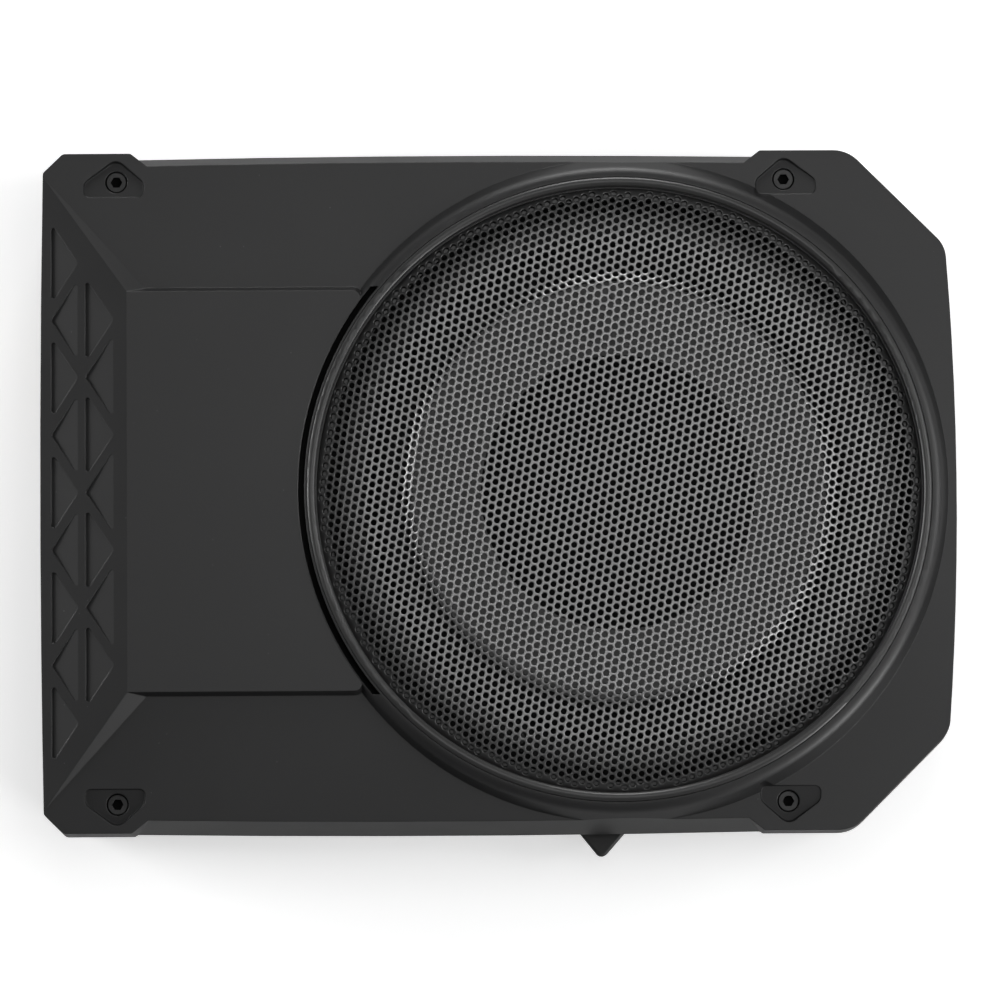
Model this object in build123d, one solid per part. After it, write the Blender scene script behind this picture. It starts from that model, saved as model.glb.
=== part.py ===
from build123d import *
import math
import os

os.makedirs("parts", exist_ok=True)

# Powered under-seat subwoofer: an active 8 inch slim woofer in a flat case.
# Frame, in millimetres: the origin is on the flat underside of the base tray, at the
# centre of the four bracket holes. +X points to the loudspeaker end, +Z up.

# ---------------------------------------------------------------- case plan
LENGTH_HALF = 182.0        # about half the case's length
LEFT_END = -181.0          # the bowed amplifier end
RIGHT_END = 182.8          # the bowed loudspeaker end
TAB_HALF = 135.5           # half the width over the four corner tabs
SIDE_HALF = 134.7          # half the width at the ends of the long sides between the tabs
SIDE_BOW = 1.05            # outward bow of a long side
LEFT_BOW = 1.2             # outward bow of the amplifier end
RIGHT_BOW = 3.6            # outward bow of the loudspeaker end
CORNER_X = 171.4           # where the small corner cut meets the left tabs
CORNER_Y = 127.2           # where the small corner cut meets the left end
LEFT_TAB_END = -144.0      # inner end of the left tabs
RIGHT_TAB_START = 105.0    # inner end of the right tabs
TAB_SLOPE = 38.0           # slope of a tab's inner end, degrees
CHAMFER_SUM = 275.8        # X + |Y| on the 45 degree cuts at the loudspeaker end

# ---------------------------------------------------------------- heights
FLOOR = 3.0                # thickness of the tray's floor
TRAY_TOP = 34.0            # tray's rim
COVER_BASE = 34.8          # cover's rim, above the seal
PANEL_Z = 68.0             # raised flat panel
BAND_Z = 64.5              # roof beside the panel's long edges
BAND_SLOPE = 3.5           # fall of the roof from there to the long sides, degrees
END_SLOPE = 1.6            # fall of the roof towards the loudspeaker end, degrees
LOFT_TOP = 72.0            # a height above the whole roof
SIDE_DRAFT_IN = 7.6        # set-back of the long sides at LOFT_TOP
EDGE_DRAFT_IN = 1.6        # set-back of every other edge at LOFT_TOP
ROOF_WALL = 3.2            # cover's wall thickness

# ---------------------------------------------------------------- raised panel and facet
PANEL_HALF = 79.0          # half the width of the flat panel
FOLD_X = -145.3            # fold between the panel and the sloping facet
FACET_END_X = -178.4       # lower edge of the facet
FACET_END_Y = 125.0        # half the length of the facet's lower edge
FACET_END_Z = 61.7         # height of the facet's lower edge
FLANK_RUN = 7.5            # widest part of the sloping wall beside the facet
PANEL_DRAFT = 24.0         # draft of the panel's side walls, degrees
TRUSS_PITCH = 45.4         # spacing of the triangular pockets along Y
TRUSS_DEPTH = 1.2          # depth of a pocket at its deep edge
TRUSS_ROUND = 1.0          # radius of a pocket's corners

# ---------------------------------------------------------------- woofer opening and grille
RING_X = 48.5              # woofer axis, on the case's centre line
BEZEL_IN_R = 119.9         # inner radius of the trim ring
BEZEL_OUT_R = 122.95       # outer radius of the trim ring
RING_TOP = 70.2            # crown of the trim ring
SEAT_R = 123.15            # bore in the cover that takes the trim ring
FLARE_Z = 69.4             # top of the rounded collar around the bore
FLARE_ROLL = 5.4           # radius of the collar's roll in section
FLARE_TURN = 60.0          # steepest slope of the collar, degrees
FLARE_FOOT_Z = 54.0        # the collar's cone runs on down inside the cover
HOLLOW_R = 133.0           # solid material under the collar reaches to here
GROOVE_IN_R = 124.0        # groove between the collar and the panel
GROOVE_OUT_R = 126.4
GROOVE_Z = 62.5
WELL_R = 116.0             # inner radius of the well below the trim ring
SEAT_Z = 61.0              # ledge that carries the trim ring
BAFFLE_TOP = 49.0
BAFFLE_T = 3.0
CUTOUT_R = 99.0            # hole in the baffle for the woofer

# ---------------------------------------------------------------- fasteners and mounts
COVER_SCREWS = [(-149.6, 123.0), (-149.6, -123.0), (114.4, 123.0), (114.4, -123.0)]
HEAD_R = 4.25              # M5 socket head
HEAD_H = 5.0
SOCKET_DEPTH = 3.2
COVER_HEAD_TOP = 60.0      # the amplifier end's screw heads end flush with the recess floors
COVER_SCREW_LENGTH = 40.0
RECESS_TILT = 1.4          # the recess floors rise by this much towards the middle of the case
RECESS_HALF = 10.9         # half a recess's length
RECESS_SHIFT = 0.95        # the recesses reach further towards the ends of the case
RECESS_IN = 5.0            # from a screw to the recess's straight inner side
RECESS_OUT = 8.5           # from a screw to the recess's point
BRACKET_X = 150.0          # bracket holes, half spacings
BRACKET_Y = 106.0
BRACKET_R = 2.1            # core of an M5 thread
BRACKET_DEPTH = 11.0
FOOT_X = 122.0
FOOT_Y = 108.0
FOOT_H = 3.3
BRACKET_SPOTS = [(x, y) for x in (-BRACKET_X, BRACKET_X) for y in (-BRACKET_Y, BRACKET_Y)]
FOOT_SPOTS = [(x, y) for x in (-FOOT_X, FOOT_X) for y in (-FOOT_Y, FOOT_Y)]
BUMPER_X = 41.3            # tip of the side bumper
BUMPER_SEAT_Y = 132.0      # floor of the pocket that holds it
FIN_ZS = (7.0, 13.6, 20.2, 26.8)
FIN_GAP = 3.0
FIN_FLOOR_Y = 131.6        # floor of the grooves between the side fins

# ---------------------------------------------------------------- control panel
PLATE_X = -169.0           # outer face of the control plate
PLATE_T = 2.0
PLATE_HALF = 96.0
PLATE_LOW = 5.0
PLATE_HIGH = 30.0
ALCOVE_HALF = 99.0
ALCOVE_BACK = PLATE_X + PLATE_T
ALCOVE_WALL = 3.0
BOARD_Z = 9.0
BOARD_TOP = 10.6
KNOB_Z = 17.5
PLATE_SCREW_YS = (-93.5, 93.5)
PLATE_SCREW_ZS = (9.0, 26.0)
BOARD_SPOTS = [(x, y) for x in (-137.0, -77.0) for y in (-106.0, 0.0, 106.0)]
SINK_X0 = -136.0           # heat sink pads inside the long walls
SINK_X1 = -80.0
SINK_Y = 118.0
CLAMP_X = -108.0
CLAMP_Z = 22.0
TOROID_X = -101.0
TOROID_Y = -54.0
RCA_YS = (-3.0, -17.0)
LED_Y = 6.5
SWITCH_Y = -46.5
PHASE_SWITCH = (13.5, 2.0)  # height and half travel
MODE_SWITCH = (21.0, 3.0)
TERMINAL_YS = (57.85, 70.0, 82.15)
FUSE_BLADE_YS = (35.0, 45.0)
INPUT_PIN_YS = (12.0, 16.0, 20.0, 24.0)
KNOB_YS = {"gain": -58.2, "lowpass": -71.7, "bass_boost": -85.2}
SHAFT_R = 3.0
FIT = 0.05                 # running clearance, radial

PARTS = {}


# ================================================================ helpers
def low(point):
    """The same plan point on the other side of the centre line."""
    return (point[0], -point[1])


def block(x0, x1, y0, y1, z0, z1):
    """A box between two corners."""
    return Pos((x0 + x1) / 2, (y0 + y1) / 2, (z0 + z1) / 2) * Box(x1 - x0, y1 - y0, z1 - z0)


def rod(x, y, z0, z1, radius):
    """A vertical cylinder."""
    return Pos(x, y, (z0 + z1) / 2) * Cylinder(radius, z1 - z0)


def pin(x0, x1, y, z, radius):
    """A cylinder along X."""
    return Pos((x0 + x1) / 2, y, z) * Rot(0, 90, 0) * Cylinder(radius, x1 - x0)


def turned(points, x=RING_X, y=0.0):
    """A solid of revolution from (radius, height) points, about a vertical axis."""
    outline = make_face(Polyline(*points, close=True))
    profile = Plane.XZ * outline
    return Pos(x, y, 0) * revolve(profile, Axis.Z, 360)


def cut_above(solid, a, b, c):
    """The part of a solid below the plane through three points."""
    plane_normal = (Vector(*b) - Vector(*a)).cross(Vector(*c) - Vector(*a)).normalized()
    if plane_normal.Z < 0:
        plane_normal = plane_normal * -1
    return split(solid, bisect_by=Plane(origin=a, z_dir=plane_normal), keep=Keep.BOTTOM)


def cut_below(solid, a, b, c):
    """The part of a solid above the plane through three points."""
    plane_normal = (Vector(*b) - Vector(*a)).cross(Vector(*c) - Vector(*a)).normalized()
    if plane_normal.Z < 0:
        plane_normal = plane_normal * -1
    return split(solid, bisect_by=Plane(origin=a, z_dir=plane_normal), keep=Keep.TOP)


def group(pieces):
    """Several separate solids kept in one node."""
    return Compound(children=[piece.solid() for piece in pieces])


def woofer_screw_spots():
    """Places of the eight screws that hold the woofer's flange."""
    spots = []
    for i in range(8):
        angle = math.radians(22.5 + 45 * i)
        spots.append((RING_X + 105.5 * math.cos(angle), 105.5 * math.sin(angle)))
    return spots


# ================================================================ case
def case_plan(side_in=0.0, edge_in=0.0):
    """Plan of the case. side_in sets the long sides back, edge_in every other edge."""
    tab_y = TAB_HALF - edge_in
    side_y = SIDE_HALF - side_in
    run = (tab_y - side_y) / math.tan(math.radians(TAB_SLOPE))
    left_x = LEFT_END + edge_in
    right_x = RIGHT_END - edge_in
    diagonal = CHAMFER_SUM - edge_in * math.sqrt(2)
    corner_low = (left_x + LEFT_BOW, CORNER_Y - 0.4 * edge_in)
    corner_high = (-CORNER_X + 0.6 * edge_in, tab_y)
    tab_end = (LEFT_TAB_END, tab_y)
    side_start = (LEFT_TAB_END + run, side_y)
    side_middle = ((LEFT_TAB_END + RIGHT_TAB_START) / 2, side_y + SIDE_BOW)
    side_end = (RIGHT_TAB_START - run, side_y)
    tab_start = (RIGHT_TAB_START, tab_y)
    cut_start = (diagonal - tab_y, tab_y)
    flank_x = right_x - RIGHT_BOW
    cut_end = (flank_x, diagonal - flank_x)
    with BuildSketch() as plan:
        with BuildLine():
            Polyline(corner_low, corner_high, tab_end, side_start)
            ThreePointArc(side_start, side_middle, side_end)
            Polyline(side_end, tab_start, cut_start, cut_end)
            ThreePointArc(cut_end, (right_x, 0), low(cut_end))
            Polyline(low(cut_end), low(cut_start), low(tab_start), low(side_end))
            ThreePointArc(low(side_end), low(side_middle), low(side_start))
            Polyline(low(side_start), low(tab_end), low(corner_high), low(corner_low))
            ThreePointArc(low(corner_low), (left_x, 0), corner_low)
        make_face()
    face = plan.face()
    rounding = [(corner_low, 2.0), (corner_high, 2.5), (tab_end, 1.3), (side_start, 1.3),
                (side_end, 1.3), (tab_start, 1.3), (cut_start, 14.0), (cut_end, 12.0)]
    for point, radius in rounding:
        for spot in (point, low(point)):
            vertex = face.vertices().sort_by_distance((*spot, 0))[0]
            face = face.fillet_2d(radius, [vertex])
    return face


def case_block(low_z, low_in, high_z, side_in, edge_in):
    """A drafted block between two plans of the case."""
    lower = Pos(0, 0, low_z) * case_plan(low_in, low_in)
    upper = Pos(0, 0, high_z) * case_plan(side_in, edge_in)
    return loft([lower, upper], ruled=True)


def roof_block(drop):
    """Everything under the roof: a sloping band on each side and a shallow crown between.
    Past the woofer axis the roof falls gently towards the loudspeaker end."""
    reach = LENGTH_HALF
    edge_y = PANEL_HALF
    edge_z = BAND_Z - drop
    far_z = edge_z - (reach - edge_y) * math.tan(math.radians(BAND_SLOPE))
    crown_z = edge_z + edge_y * math.tan(math.radians(BAND_SLOPE / 2))
    with BuildSketch(Plane.YZ.offset(RING_X)) as profile:
        with BuildLine():
            Line((-reach, far_z), (-edge_y, edge_z))
            ThreePointArc((-edge_y, edge_z), (0, crown_z), (edge_y, edge_z))
            Polyline((edge_y, edge_z), (reach, far_z), (reach, 0), (-reach, 0), (-reach, far_z))
        make_face()
    fall = math.tan(math.radians(END_SLOPE))
    level = extrude(profile.sketch, amount=LENGTH_HALF + RING_X + 5, dir=(-1, 0, 0))
    falling = extrude(profile.sketch, amount=LENGTH_HALF, dir=(1, 0, -fall))
    return level + falling


def facet_z(x, drop=0.0):
    """Height of the sloping facet's plane."""
    slope = (PANEL_Z - FACET_END_Z) / (FOLD_X - FACET_END_X)
    return PANEL_Z - slope * (FOLD_X - x) - drop


def trim_facet(solid, drop=0.0):
    """Cuts a solid along the facet's plane."""
    a = (FOLD_X, 0, facet_z(FOLD_X, drop))
    b = (FOLD_X, 10, facet_z(FOLD_X, drop))
    c = (FACET_END_X, 0, facet_z(FACET_END_X, drop))
    return cut_above(solid, a, b, c)


def panel_block():
    """The raised flat panel, ending in an arc around the grille."""
    rectangle = Pos((FOLD_X + RING_X) / 2, 0) * Rectangle(RING_X - FOLD_X, 2 * PANEL_HALF)
    outline = rectangle - Pos(RING_X, 0) * Circle(GROOVE_OUT_R)
    corner_x = RING_X - math.sqrt(GROOVE_OUT_R ** 2 - PANEL_HALF ** 2)
    face = outline.faces().sort_by(Axis.X)[0]
    for spot in ((corner_x, PANEL_HALF, 0), (corner_x, -PANEL_HALF, 0)):
        vertex = face.vertices().sort_by_distance(spot)[0]
        face = face.fillet_2d(3.0, [vertex])
    depth = PANEL_Z - 56
    return Pos(0, 0, PANEL_Z) * extrude(face, amount=depth, dir=(0, 0, -1), taper=-PANEL_DRAFT)


def facet_block():
    """The raised wedge under the facet, with a sloping wall along each diagonal edge."""
    wedge = block(-LENGTH_HALF - 4, FOLD_X + 26, -150, 150, 50, PANEL_Z)
    for side in (1, -1):
        fold_corner = (FOLD_X, side * PANEL_HALF, PANEL_Z)
        end_corner = (FACET_END_X, side * FACET_END_Y, FACET_END_Z)
        foot = (FOLD_X + FLANK_RUN, side * (PANEL_HALF + 1.5), BAND_Z - 0.1)
        wedge = cut_above(wedge, fold_corner, end_corner, foot)
    return wedge


def flare_block():
    """The collar that rolls over from the grille's bore and runs down to the roof."""
    turn = math.radians(FLARE_TURN)
    roll_end = (SEAT_R + FLARE_ROLL * math.sin(turn), FLARE_Z - FLARE_ROLL * (1 - math.cos(turn)))
    foot_r = roll_end[0] + (roll_end[1] - FLARE_FOOT_Z) / math.tan(turn)
    half = turn / 2
    roll_middle = (SEAT_R + FLARE_ROLL * math.sin(half), FLARE_Z - FLARE_ROLL * (1 - math.cos(half)))
    with BuildSketch(Plane.XZ) as profile:
        with BuildLine():
            Polyline(roll_end, (foot_r, FLARE_FOOT_Z), (foot_r, 45), (100, 45), (100, FLARE_Z),
                     (SEAT_R, FLARE_Z))
            ThreePointArc((SEAT_R, FLARE_Z), roll_middle, roll_end)
        make_face()
    return Pos(RING_X, 0, 0) * revolve(profile.sketch, Axis.Z, 360)


def recess_plan(x, y, grow=0.0):
    """The house-shaped recess around a cover screw, pointing to the nearest long side."""
    side = 1 if y > 0 else -1
    half = RECESS_HALF + grow
    middle = x + math.copysign(RECESS_SHIFT, x)
    inner_y = y - side * (RECESS_IN + grow)
    points = [(middle - half, inner_y), (middle - half, y - side * 0.6),
              (x, y + side * (RECESS_OUT + grow * 1.3)), (middle + half, y - side * 0.6),
              (middle + half, inner_y)]
    face = make_face(Polyline(*points[::side], close=True)).face()
    for point, radius in zip(points, (1.5, 2.5, 3.5, 2.5, 1.5)):
        vertex = face.vertices().sort_by_distance((*point, 0))[0]
        face = face.fillet_2d(radius, [vertex])
    return face


def head_top(x):
    """Height of a cover screw's head, which follows the roof's fall at the loudspeaker end."""
    return COVER_HEAD_TOP - max(0.0, x - RING_X) * math.tan(math.radians(END_SLOPE))


def truss_cutters():
    """Two columns of triangular pockets. Each floor is deepest on the left and rises to the
    facet on the right. Pockets that widen to the left alternate with ones that widen to the right."""
    columns = [(-175.4, -164.6, 16.2, 4), (-161.8, -150.4, 16.8, 3)]
    cutters = []
    for x_deep, x_flush, half, last in columns:
        triangles = []
        for step in range(-last, last + 1, 2):
            y = step * TRUSS_PITCH / 2
            triangles.append([(x_deep, y - half), (x_flush, y), (x_deep, y + half)])
        for step in range(1 - last, last, 2):
            y = step * TRUSS_PITCH / 2
            triangles.append([(x_deep, y), (x_flush, y - half), (x_flush, y + half)])
        a = (x_flush, 0, facet_z(x_flush) + 0.02)
        b = (x_flush, 10, facet_z(x_flush) + 0.02)
        c = (x_deep, 0, facet_z(x_deep) - TRUSS_DEPTH)
        for points in triangles:
            face = make_face(Polyline(*points, close=True)).face()
            face = face.fillet_2d(TRUSS_ROUND, face.vertices())
            prism = extrude(Pos(0, 0, 50) * face, amount=30, dir=(0, 0, 1))
            cutters.append(cut_below(prism, a, b, c))
    return cutters


def cover():
    """Top cover: a moulded shell with the woofer well, screw towers and a raised panel."""
    shell = case_block(COVER_BASE, 0.0, LOFT_TOP, SIDE_DRAFT_IN, EDGE_DRAFT_IN)
    top = roof_block(0.0) + panel_block() + facet_block() + flare_block()
    outer = trim_facet(shell & top)
    hollow = case_block(COVER_BASE - 1, ROOF_WALL, LOFT_TOP, SIDE_DRAFT_IN + ROOF_WALL,
                        EDGE_DRAFT_IN + ROOF_WALL)
    hollow = trim_facet(hollow & roof_block(ROOF_WALL), ROOF_WALL)
    hollow += block(FOLD_X + 6, -92, -PANEL_HALF + 5, PANEL_HALF - 5, 55, PANEL_Z - ROOF_WALL)
    hollow -= turned([(0, 54), (HOLLOW_R, 54), (HOLLOW_R, 80), (0, 80)])
    hollow -= turned([(0, 30), (WELL_R + 3, 30), (WELL_R + 3, 80), (0, 80)])
    for x, y in COVER_SCREWS:
        hollow -= rod(x, y, 30, 80, 6.5)
        hollow -= extrude(Pos(0, 0, 52) * recess_plan(x, y, 3.0), amount=30, dir=(0, 0, 1))
    body = outer - hollow
    body -= turned([(0, 30), (WELL_R + 4, 30), (WELL_R, 46), (0, 46)])
    body -= rod(RING_X, 0, 30, BAFFLE_TOP - BAFFLE_T, WELL_R)
    body -= rod(RING_X, 0, BAFFLE_TOP, 90, WELL_R)
    body -= rod(RING_X, 0, 30, 90, CUTOUT_R)
    body -= rod(RING_X, 0, SEAT_Z, 90, SEAT_R)
    channel = rod(RING_X, 0, GROOVE_Z, 90, GROOVE_OUT_R) - rod(RING_X, 0, 50, 90, GROOVE_IN_R)
    body -= channel & block(-120, RING_X, -PANEL_HALF - 1.4, PANEL_HALF + 1.4, 50, 90)
    for cutter in truss_cutters():
        body -= cutter
    for x, y in COVER_SCREWS:
        floor_z = head_top(x)
        pocket = extrude(Pos(0, 0, floor_z - RECESS_TILT) * recess_plan(x, y), amount=12,
                         dir=(0, 0, 1), taper=-18)
        outer_y = y + math.copysign(RECESS_OUT, y)
        inner_y = y - math.copysign(RECESS_IN, y)
        body -= cut_below(pocket, (x, outer_y, floor_z - RECESS_TILT / 2),
                          (x + 5, outer_y, floor_z - RECESS_TILT / 2),
                          (x, inner_y, floor_z + RECESS_TILT))
        body -= rod(x, y, floor_z - HEAD_H - 0.2, 90, HEAD_R + 0.15)
        body -= rod(x, y, 20, 90, 2.75)
    for spot in woofer_screw_spots():
        body += rod(*spot, 38, BAFFLE_TOP - BAFFLE_T, 4.0)
        body -= rod(*spot, 39.5, 60, 1.75)
    return body


def tray():
    """Cast base tray: heat sink, floor, bosses and the alcove that holds the controls."""
    body = case_block(0.0, 2.6, TRAY_TOP, 0.3, 0.3)
    room = extrude(Pos(0, 0, FLOOR) * case_plan(5.0, 5.0), amount=40, dir=(0, 0, 1))
    wall_x = ALCOVE_BACK + ALCOVE_WALL
    wall_y = ALCOVE_HALF + ALCOVE_WALL
    room -= block(-LENGTH_HALF - 5, wall_x, -wall_y, wall_y, 0, 60)
    for x, y in COVER_SCREWS:
        room -= rod(x, y, 0, TRAY_TOP, 6.5)
    for x, y in BRACKET_SPOTS:
        room -= rod(x, y, 0, BRACKET_DEPTH + FLOOR, 6.5)
    for x, y in FOOT_SPOTS:
        room -= rod(x, y, 0, 8.5, 4.5)
    for x, y in BOARD_SPOTS:
        room -= rod(x, y, 0, BOARD_Z, 3.2)
    for side in (1, -1):
        room -= block(SINK_X0, SINK_X1, *sorted((side * SINK_Y, side * 140)), 0, 28)
    body -= room
    body -= block(-LENGTH_HALF - 5, ALCOVE_BACK, -ALCOVE_HALF, ALCOVE_HALF, FLOOR, 31)
    body -= block(ALCOVE_BACK - 1, wall_x + 1, -91, 91, 8, 27)
    for x, y in COVER_SCREWS:
        body -= rod(x, y, 12, TRAY_TOP + 1, 2.55)
    for x, y in BRACKET_SPOTS:
        body -= rod(x, y, -1, BRACKET_DEPTH, BRACKET_R)
    for x, y in FOOT_SPOTS:
        body -= rod(x, y, -1, 7, 1.55)
    for x, y in BOARD_SPOTS:
        body -= rod(x, y, 4, BOARD_Z + 1, 1.3)
    for y in PLATE_SCREW_YS:
        for z in PLATE_SCREW_ZS:
            body -= pin(ALCOVE_BACK - 1, wall_x + 1, y, z, 1.3)
    for side in (1, -1):
        hole = Pos(CLAMP_X, side * (SINK_Y + 4.5), CLAMP_Z) * Rot(90, 0, 0) * Cylinder(1.55, 11)
        body -= hole
    for z in FIN_ZS:
        body -= block(-128, 90, FIN_FLOOR_Y, 140, z, z + FIN_GAP)
        body -= block(-128, BUMPER_X - 14, -140, -FIN_FLOOR_Y, z, z + FIN_GAP)
        body -= block(BUMPER_X + 14, 90, -140, -FIN_FLOOR_Y, z, z + FIN_GAP)
    body -= block(BUMPER_X - 11, BUMPER_X + 11, -140, -BUMPER_SEAT_Y, 5, 29)
    return body


def seal():
    """Foam seal between the tray's rim and the cover's rim."""
    ring = case_plan(1.2, 1.2) - case_plan(3.0, 3.0)
    return extrude(Pos(0, 0, TRAY_TOP) * ring.face(), amount=COVER_BASE - TRAY_TOP, dir=(0, 0, 1))


def cap_screw(x, y):
    """M5 socket head cap screw, head up."""
    seat = head_top(x) - HEAD_H - 0.2
    head = chamfer(rod(x, y, seat, seat + HEAD_H, HEAD_R).edges().sort_by(Axis.Z)[-1], 0.5)
    socket_z = seat + HEAD_H - SOCKET_DEPTH
    socket = extrude(Pos(x, y, socket_z) * RegularPolygon(2.0, 6, major_radius=False),
                     amount=SOCKET_DEPTH + 1, dir=(0, 0, 1))
    return head - socket + rod(x, y, seat - COVER_SCREW_LENGTH, seat, 2.5)


def foot(x, y):
    """Moulded rubber foot with a sunk screw hole."""
    profile = [(1.7, 0), (11, 0), (11, -1.6), (10, -FOOT_H), (4.2, -FOOT_H), (4.2, -1.6), (1.7, -1.6)]
    return turned(profile, x, y)


def foot_screw(x, y):
    """Pan head screw through a rubber foot."""
    return rod(x, y, -2.9, -1.6, 3.2) + rod(x, y, -1.6, 6.5, 1.5)


def bumper():
    """Rubber bumper on the long side: a rounded triangular nose on a rectangular base."""
    nose_face = make_face(Polyline((BUMPER_X - 9.2, -134.2), (BUMPER_X + 10.0, -134.2),
                                   (BUMPER_X, -145.6), close=True)).face()
    tip = nose_face.vertices().sort_by(Axis.Y)[0]
    nose_face = nose_face.fillet_2d(2.6, [tip])
    nose = extrude(Pos(0, 0, 7) * nose_face, amount=20, dir=(0, 0, 1))
    rims = nose.edges().filter_by_position(Axis.Z, 6.9, 7.1) + \
        nose.edges().filter_by_position(Axis.Z, 26.9, 27.1)
    rims = [edge for edge in rims if edge.center().Y < -134.4]
    nose = chamfer(rims, 1.0)
    base = block(BUMPER_X - 10.8, BUMPER_X + 10.8, -134.4, -BUMPER_SEAT_Y, 5.2, 28.8)
    return nose + base


# ================================================================ grille
def trim_ring():
    """Trim ring around the grille: a crowned top, and a foot that carries the mesh."""
    inner_r, outer_r = BEZEL_IN_R, BEZEL_OUT_R
    middle_r = (inner_r + outer_r) / 2
    edge_z = RING_TOP - 0.7
    with BuildSketch(Plane.XZ) as profile:
        with BuildLine():
            Polyline((inner_r, edge_z), (inner_r, 62.4), (115.2, 62.4), (115.2, SEAT_Z),
                     (outer_r, SEAT_Z), (outer_r, edge_z))
            ThreePointArc((outer_r, edge_z), (middle_r, RING_TOP), (inner_r, edge_z))
        make_face()
    return Pos(RING_X, 0, 0) * revolve(profile.sketch, Axis.Z, 360)


def grille():
    """Pressed steel grille: a raised flat centre, a step, and a shoulder down to the rim."""
    upper = [(0, 71.7), (80.8, 71.7), (86, 68.7), (100, 68.3), (108.6, 67.3), (114.8, 65.5),
             (118.4, 63.9), (119.3, 62.9), (119.3, 62.4)]
    lower = [(118.3, 62.4), (117.8, 63.1), (114.4, 64.5), (108.3, 66.3), (100, 67.3),
             (85.7, 67.7), (80.5, 70.7), (0, 70.7)]
    return turned(upper + lower)


# ================================================================ woofer
def basket():
    """Pressed steel woofer basket with six windows."""
    frame = turned([(30, 27.0), (56, 27.0), (60, 32.6), (76, 32.6), (97.6, 50.0), (110, 50.0),
                    (110, 51.4), (96.6, 51.4), (75.3, 34.0), (59, 34.0), (55, 28.4), (30, 28.4)])
    ring = turned([(74, 20), (91, 20), (91, 60), (74, 60)])
    for i in range(6):
        angle = math.radians(60 * i)
        reach = 120
        spread = math.radians(20)
        corners = [(RING_X, 0)]
        for turn in (-spread, spread):
            corners.append((RING_X + reach * math.cos(angle + turn), reach * math.sin(angle + turn)))
        wedge = extrude(Pos(0, 0, 20) * make_face(Polyline(*corners, close=True)).face(),
                        amount=40, dir=(0, 0, 1))
        frame -= ring & wedge
    for x, y in woofer_screw_spots():
        frame -= rod(x, y, 40, 60, 2.1)
    return frame


def gasket():
    """Woofer gasket between the flange and the baffle."""
    ring = rod(RING_X, 0, BAFFLE_TOP, 50.0, 109.5) - rod(RING_X, 0, 40, 60, 99.5)
    for x, y in woofer_screw_spots():
        ring -= rod(x, y, 40, 60, 2.3)
    return ring


def woofer_screw(x, y):
    """Pan head screw through the woofer's flange."""
    head = chamfer(rod(x, y, 51.4, 53.4, 3.4).edges().sort_by(Axis.Z)[-1], 0.7)
    cross = block(x - 2, x + 2, y - 0.4, y + 0.4, 52.6, 55)
    cross += block(x - 0.4, x + 0.4, y - 2, y + 2, 52.6, 55)
    return head - cross + rod(x, y, 40.5, 51.4, 1.7)


def surround():
    """Rubber half-roll surround with flat inner and outer lips."""
    roll = Plane.XZ * (Pos(92.5, 51.4) * (Circle(6.2) - Circle(5.4)))
    roll = Pos(RING_X, 0, 0) * revolve(roll, Axis.Z, 360)
    roll -= block(-80, 180, -120, 120, 30, 51.4)
    inner_lip = turned([(83.5, 51.4), (87.0, 51.4), (87.0, 52.2), (83.5, 52.2)])
    outer_lip = turned([(98.0, 51.4), (101.5, 51.4), (101.5, 52.2), (98.0, 52.2)])
    return roll + inner_lip + outer_lip


def cone():
    """Shallow woofer cone with a flat rim for the surround."""
    return turned([(25.15, 39.7), (83.3, 50.5), (87.6, 50.5), (87.6, 51.4), (83.2, 51.4),
                   (25.15, 40.6)])


def cap_arc(rim_r, rim_z, crown_z):
    """Points of a shallow dome from its rim to its crown."""
    rise = crown_z - rim_z
    sphere_r = (rim_r ** 2 + rise ** 2) / (2 * rise)
    points = []
    for i in range(13):
        r = rim_r * (12 - i) / 12
        points.append((r, crown_z - sphere_r + math.sqrt(sphere_r ** 2 - r ** 2)))
    return points


def dust_cap():
    """Domed dust cap glued on the cone."""
    outer = cap_arc(54.5, 46.12, 55.8)
    inner = cap_arc(53.4, 46.0, 55.0)
    return turned(outer + inner[::-1])


def spider():
    """Corrugated spider from the former to the basket's ledge."""
    count = 48
    middle = []
    for i in range(count + 1):
        r = 26.5 + (57.5 - 26.5) * i / count
        middle.append((r, 34.35 + 1.0 * math.sin(2 * math.pi * 5 * i / count)))
    ledge_z = 34.02
    upper = [(25.15, 34.65)] + [(r, z + 0.3) for r, z in middle] + [(65.5, 34.6), (65.5, ledge_z)]
    lower = [(middle[-1][0], ledge_z)] + [(r, z - 0.3) for r, z in middle[-2::-1]] + [(25.15, 34.05)]
    return turned(upper + lower)


def back_plate():
    """Back plate and vented pole of the magnet circuit."""
    return turned([(6, 4), (48, 4), (48, 9), (23.9, 9), (23.9, 27), (6, 27)])


def tube(inner_r, outer_r, z0, z1):
    """A ring about the woofer axis."""
    return turned([(inner_r, z0), (outer_r, z0), (outer_r, z1), (inner_r, z1)])


def wire(points, radius):
    """A round wire along a smooth path."""
    path = Spline(*points)
    start = Plane(origin=path @ 0, z_dir=path % 0)
    return sweep(start * Circle(radius), path=path)


def terminal_strip():
    """Tag strip under the basket's rim, with a raised back edge and two soldering tags."""
    strip = block(-46, -41, -11, 11, 33, 43.0)
    strip += block(-46, -44.5, -11, 11, 43.0, 46.2)
    for side in (1, -1):
        strip += block(-47.5, -46, side * 6 - 2, side * 6 + 2, 35, 41)
    return strip


def tinsel_lead(side):
    """Flexible lead from the tag strip to the underside of the cone."""
    y = side * 6
    return wire([(-40.5, y, 40), (-31, y, 37.6), (-21, y, 40.6), (-11.5, y, 45.2)], 0.6)


def speaker_wire(side):
    """Insulated wire from the amplifier board to the tag strip."""
    y = side * 6
    return wire([(-82, side * 9, 11.9), (-72, side * 8, 16), (-60, y, 26), (-48.8, y, 38)], 1.1)


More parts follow.
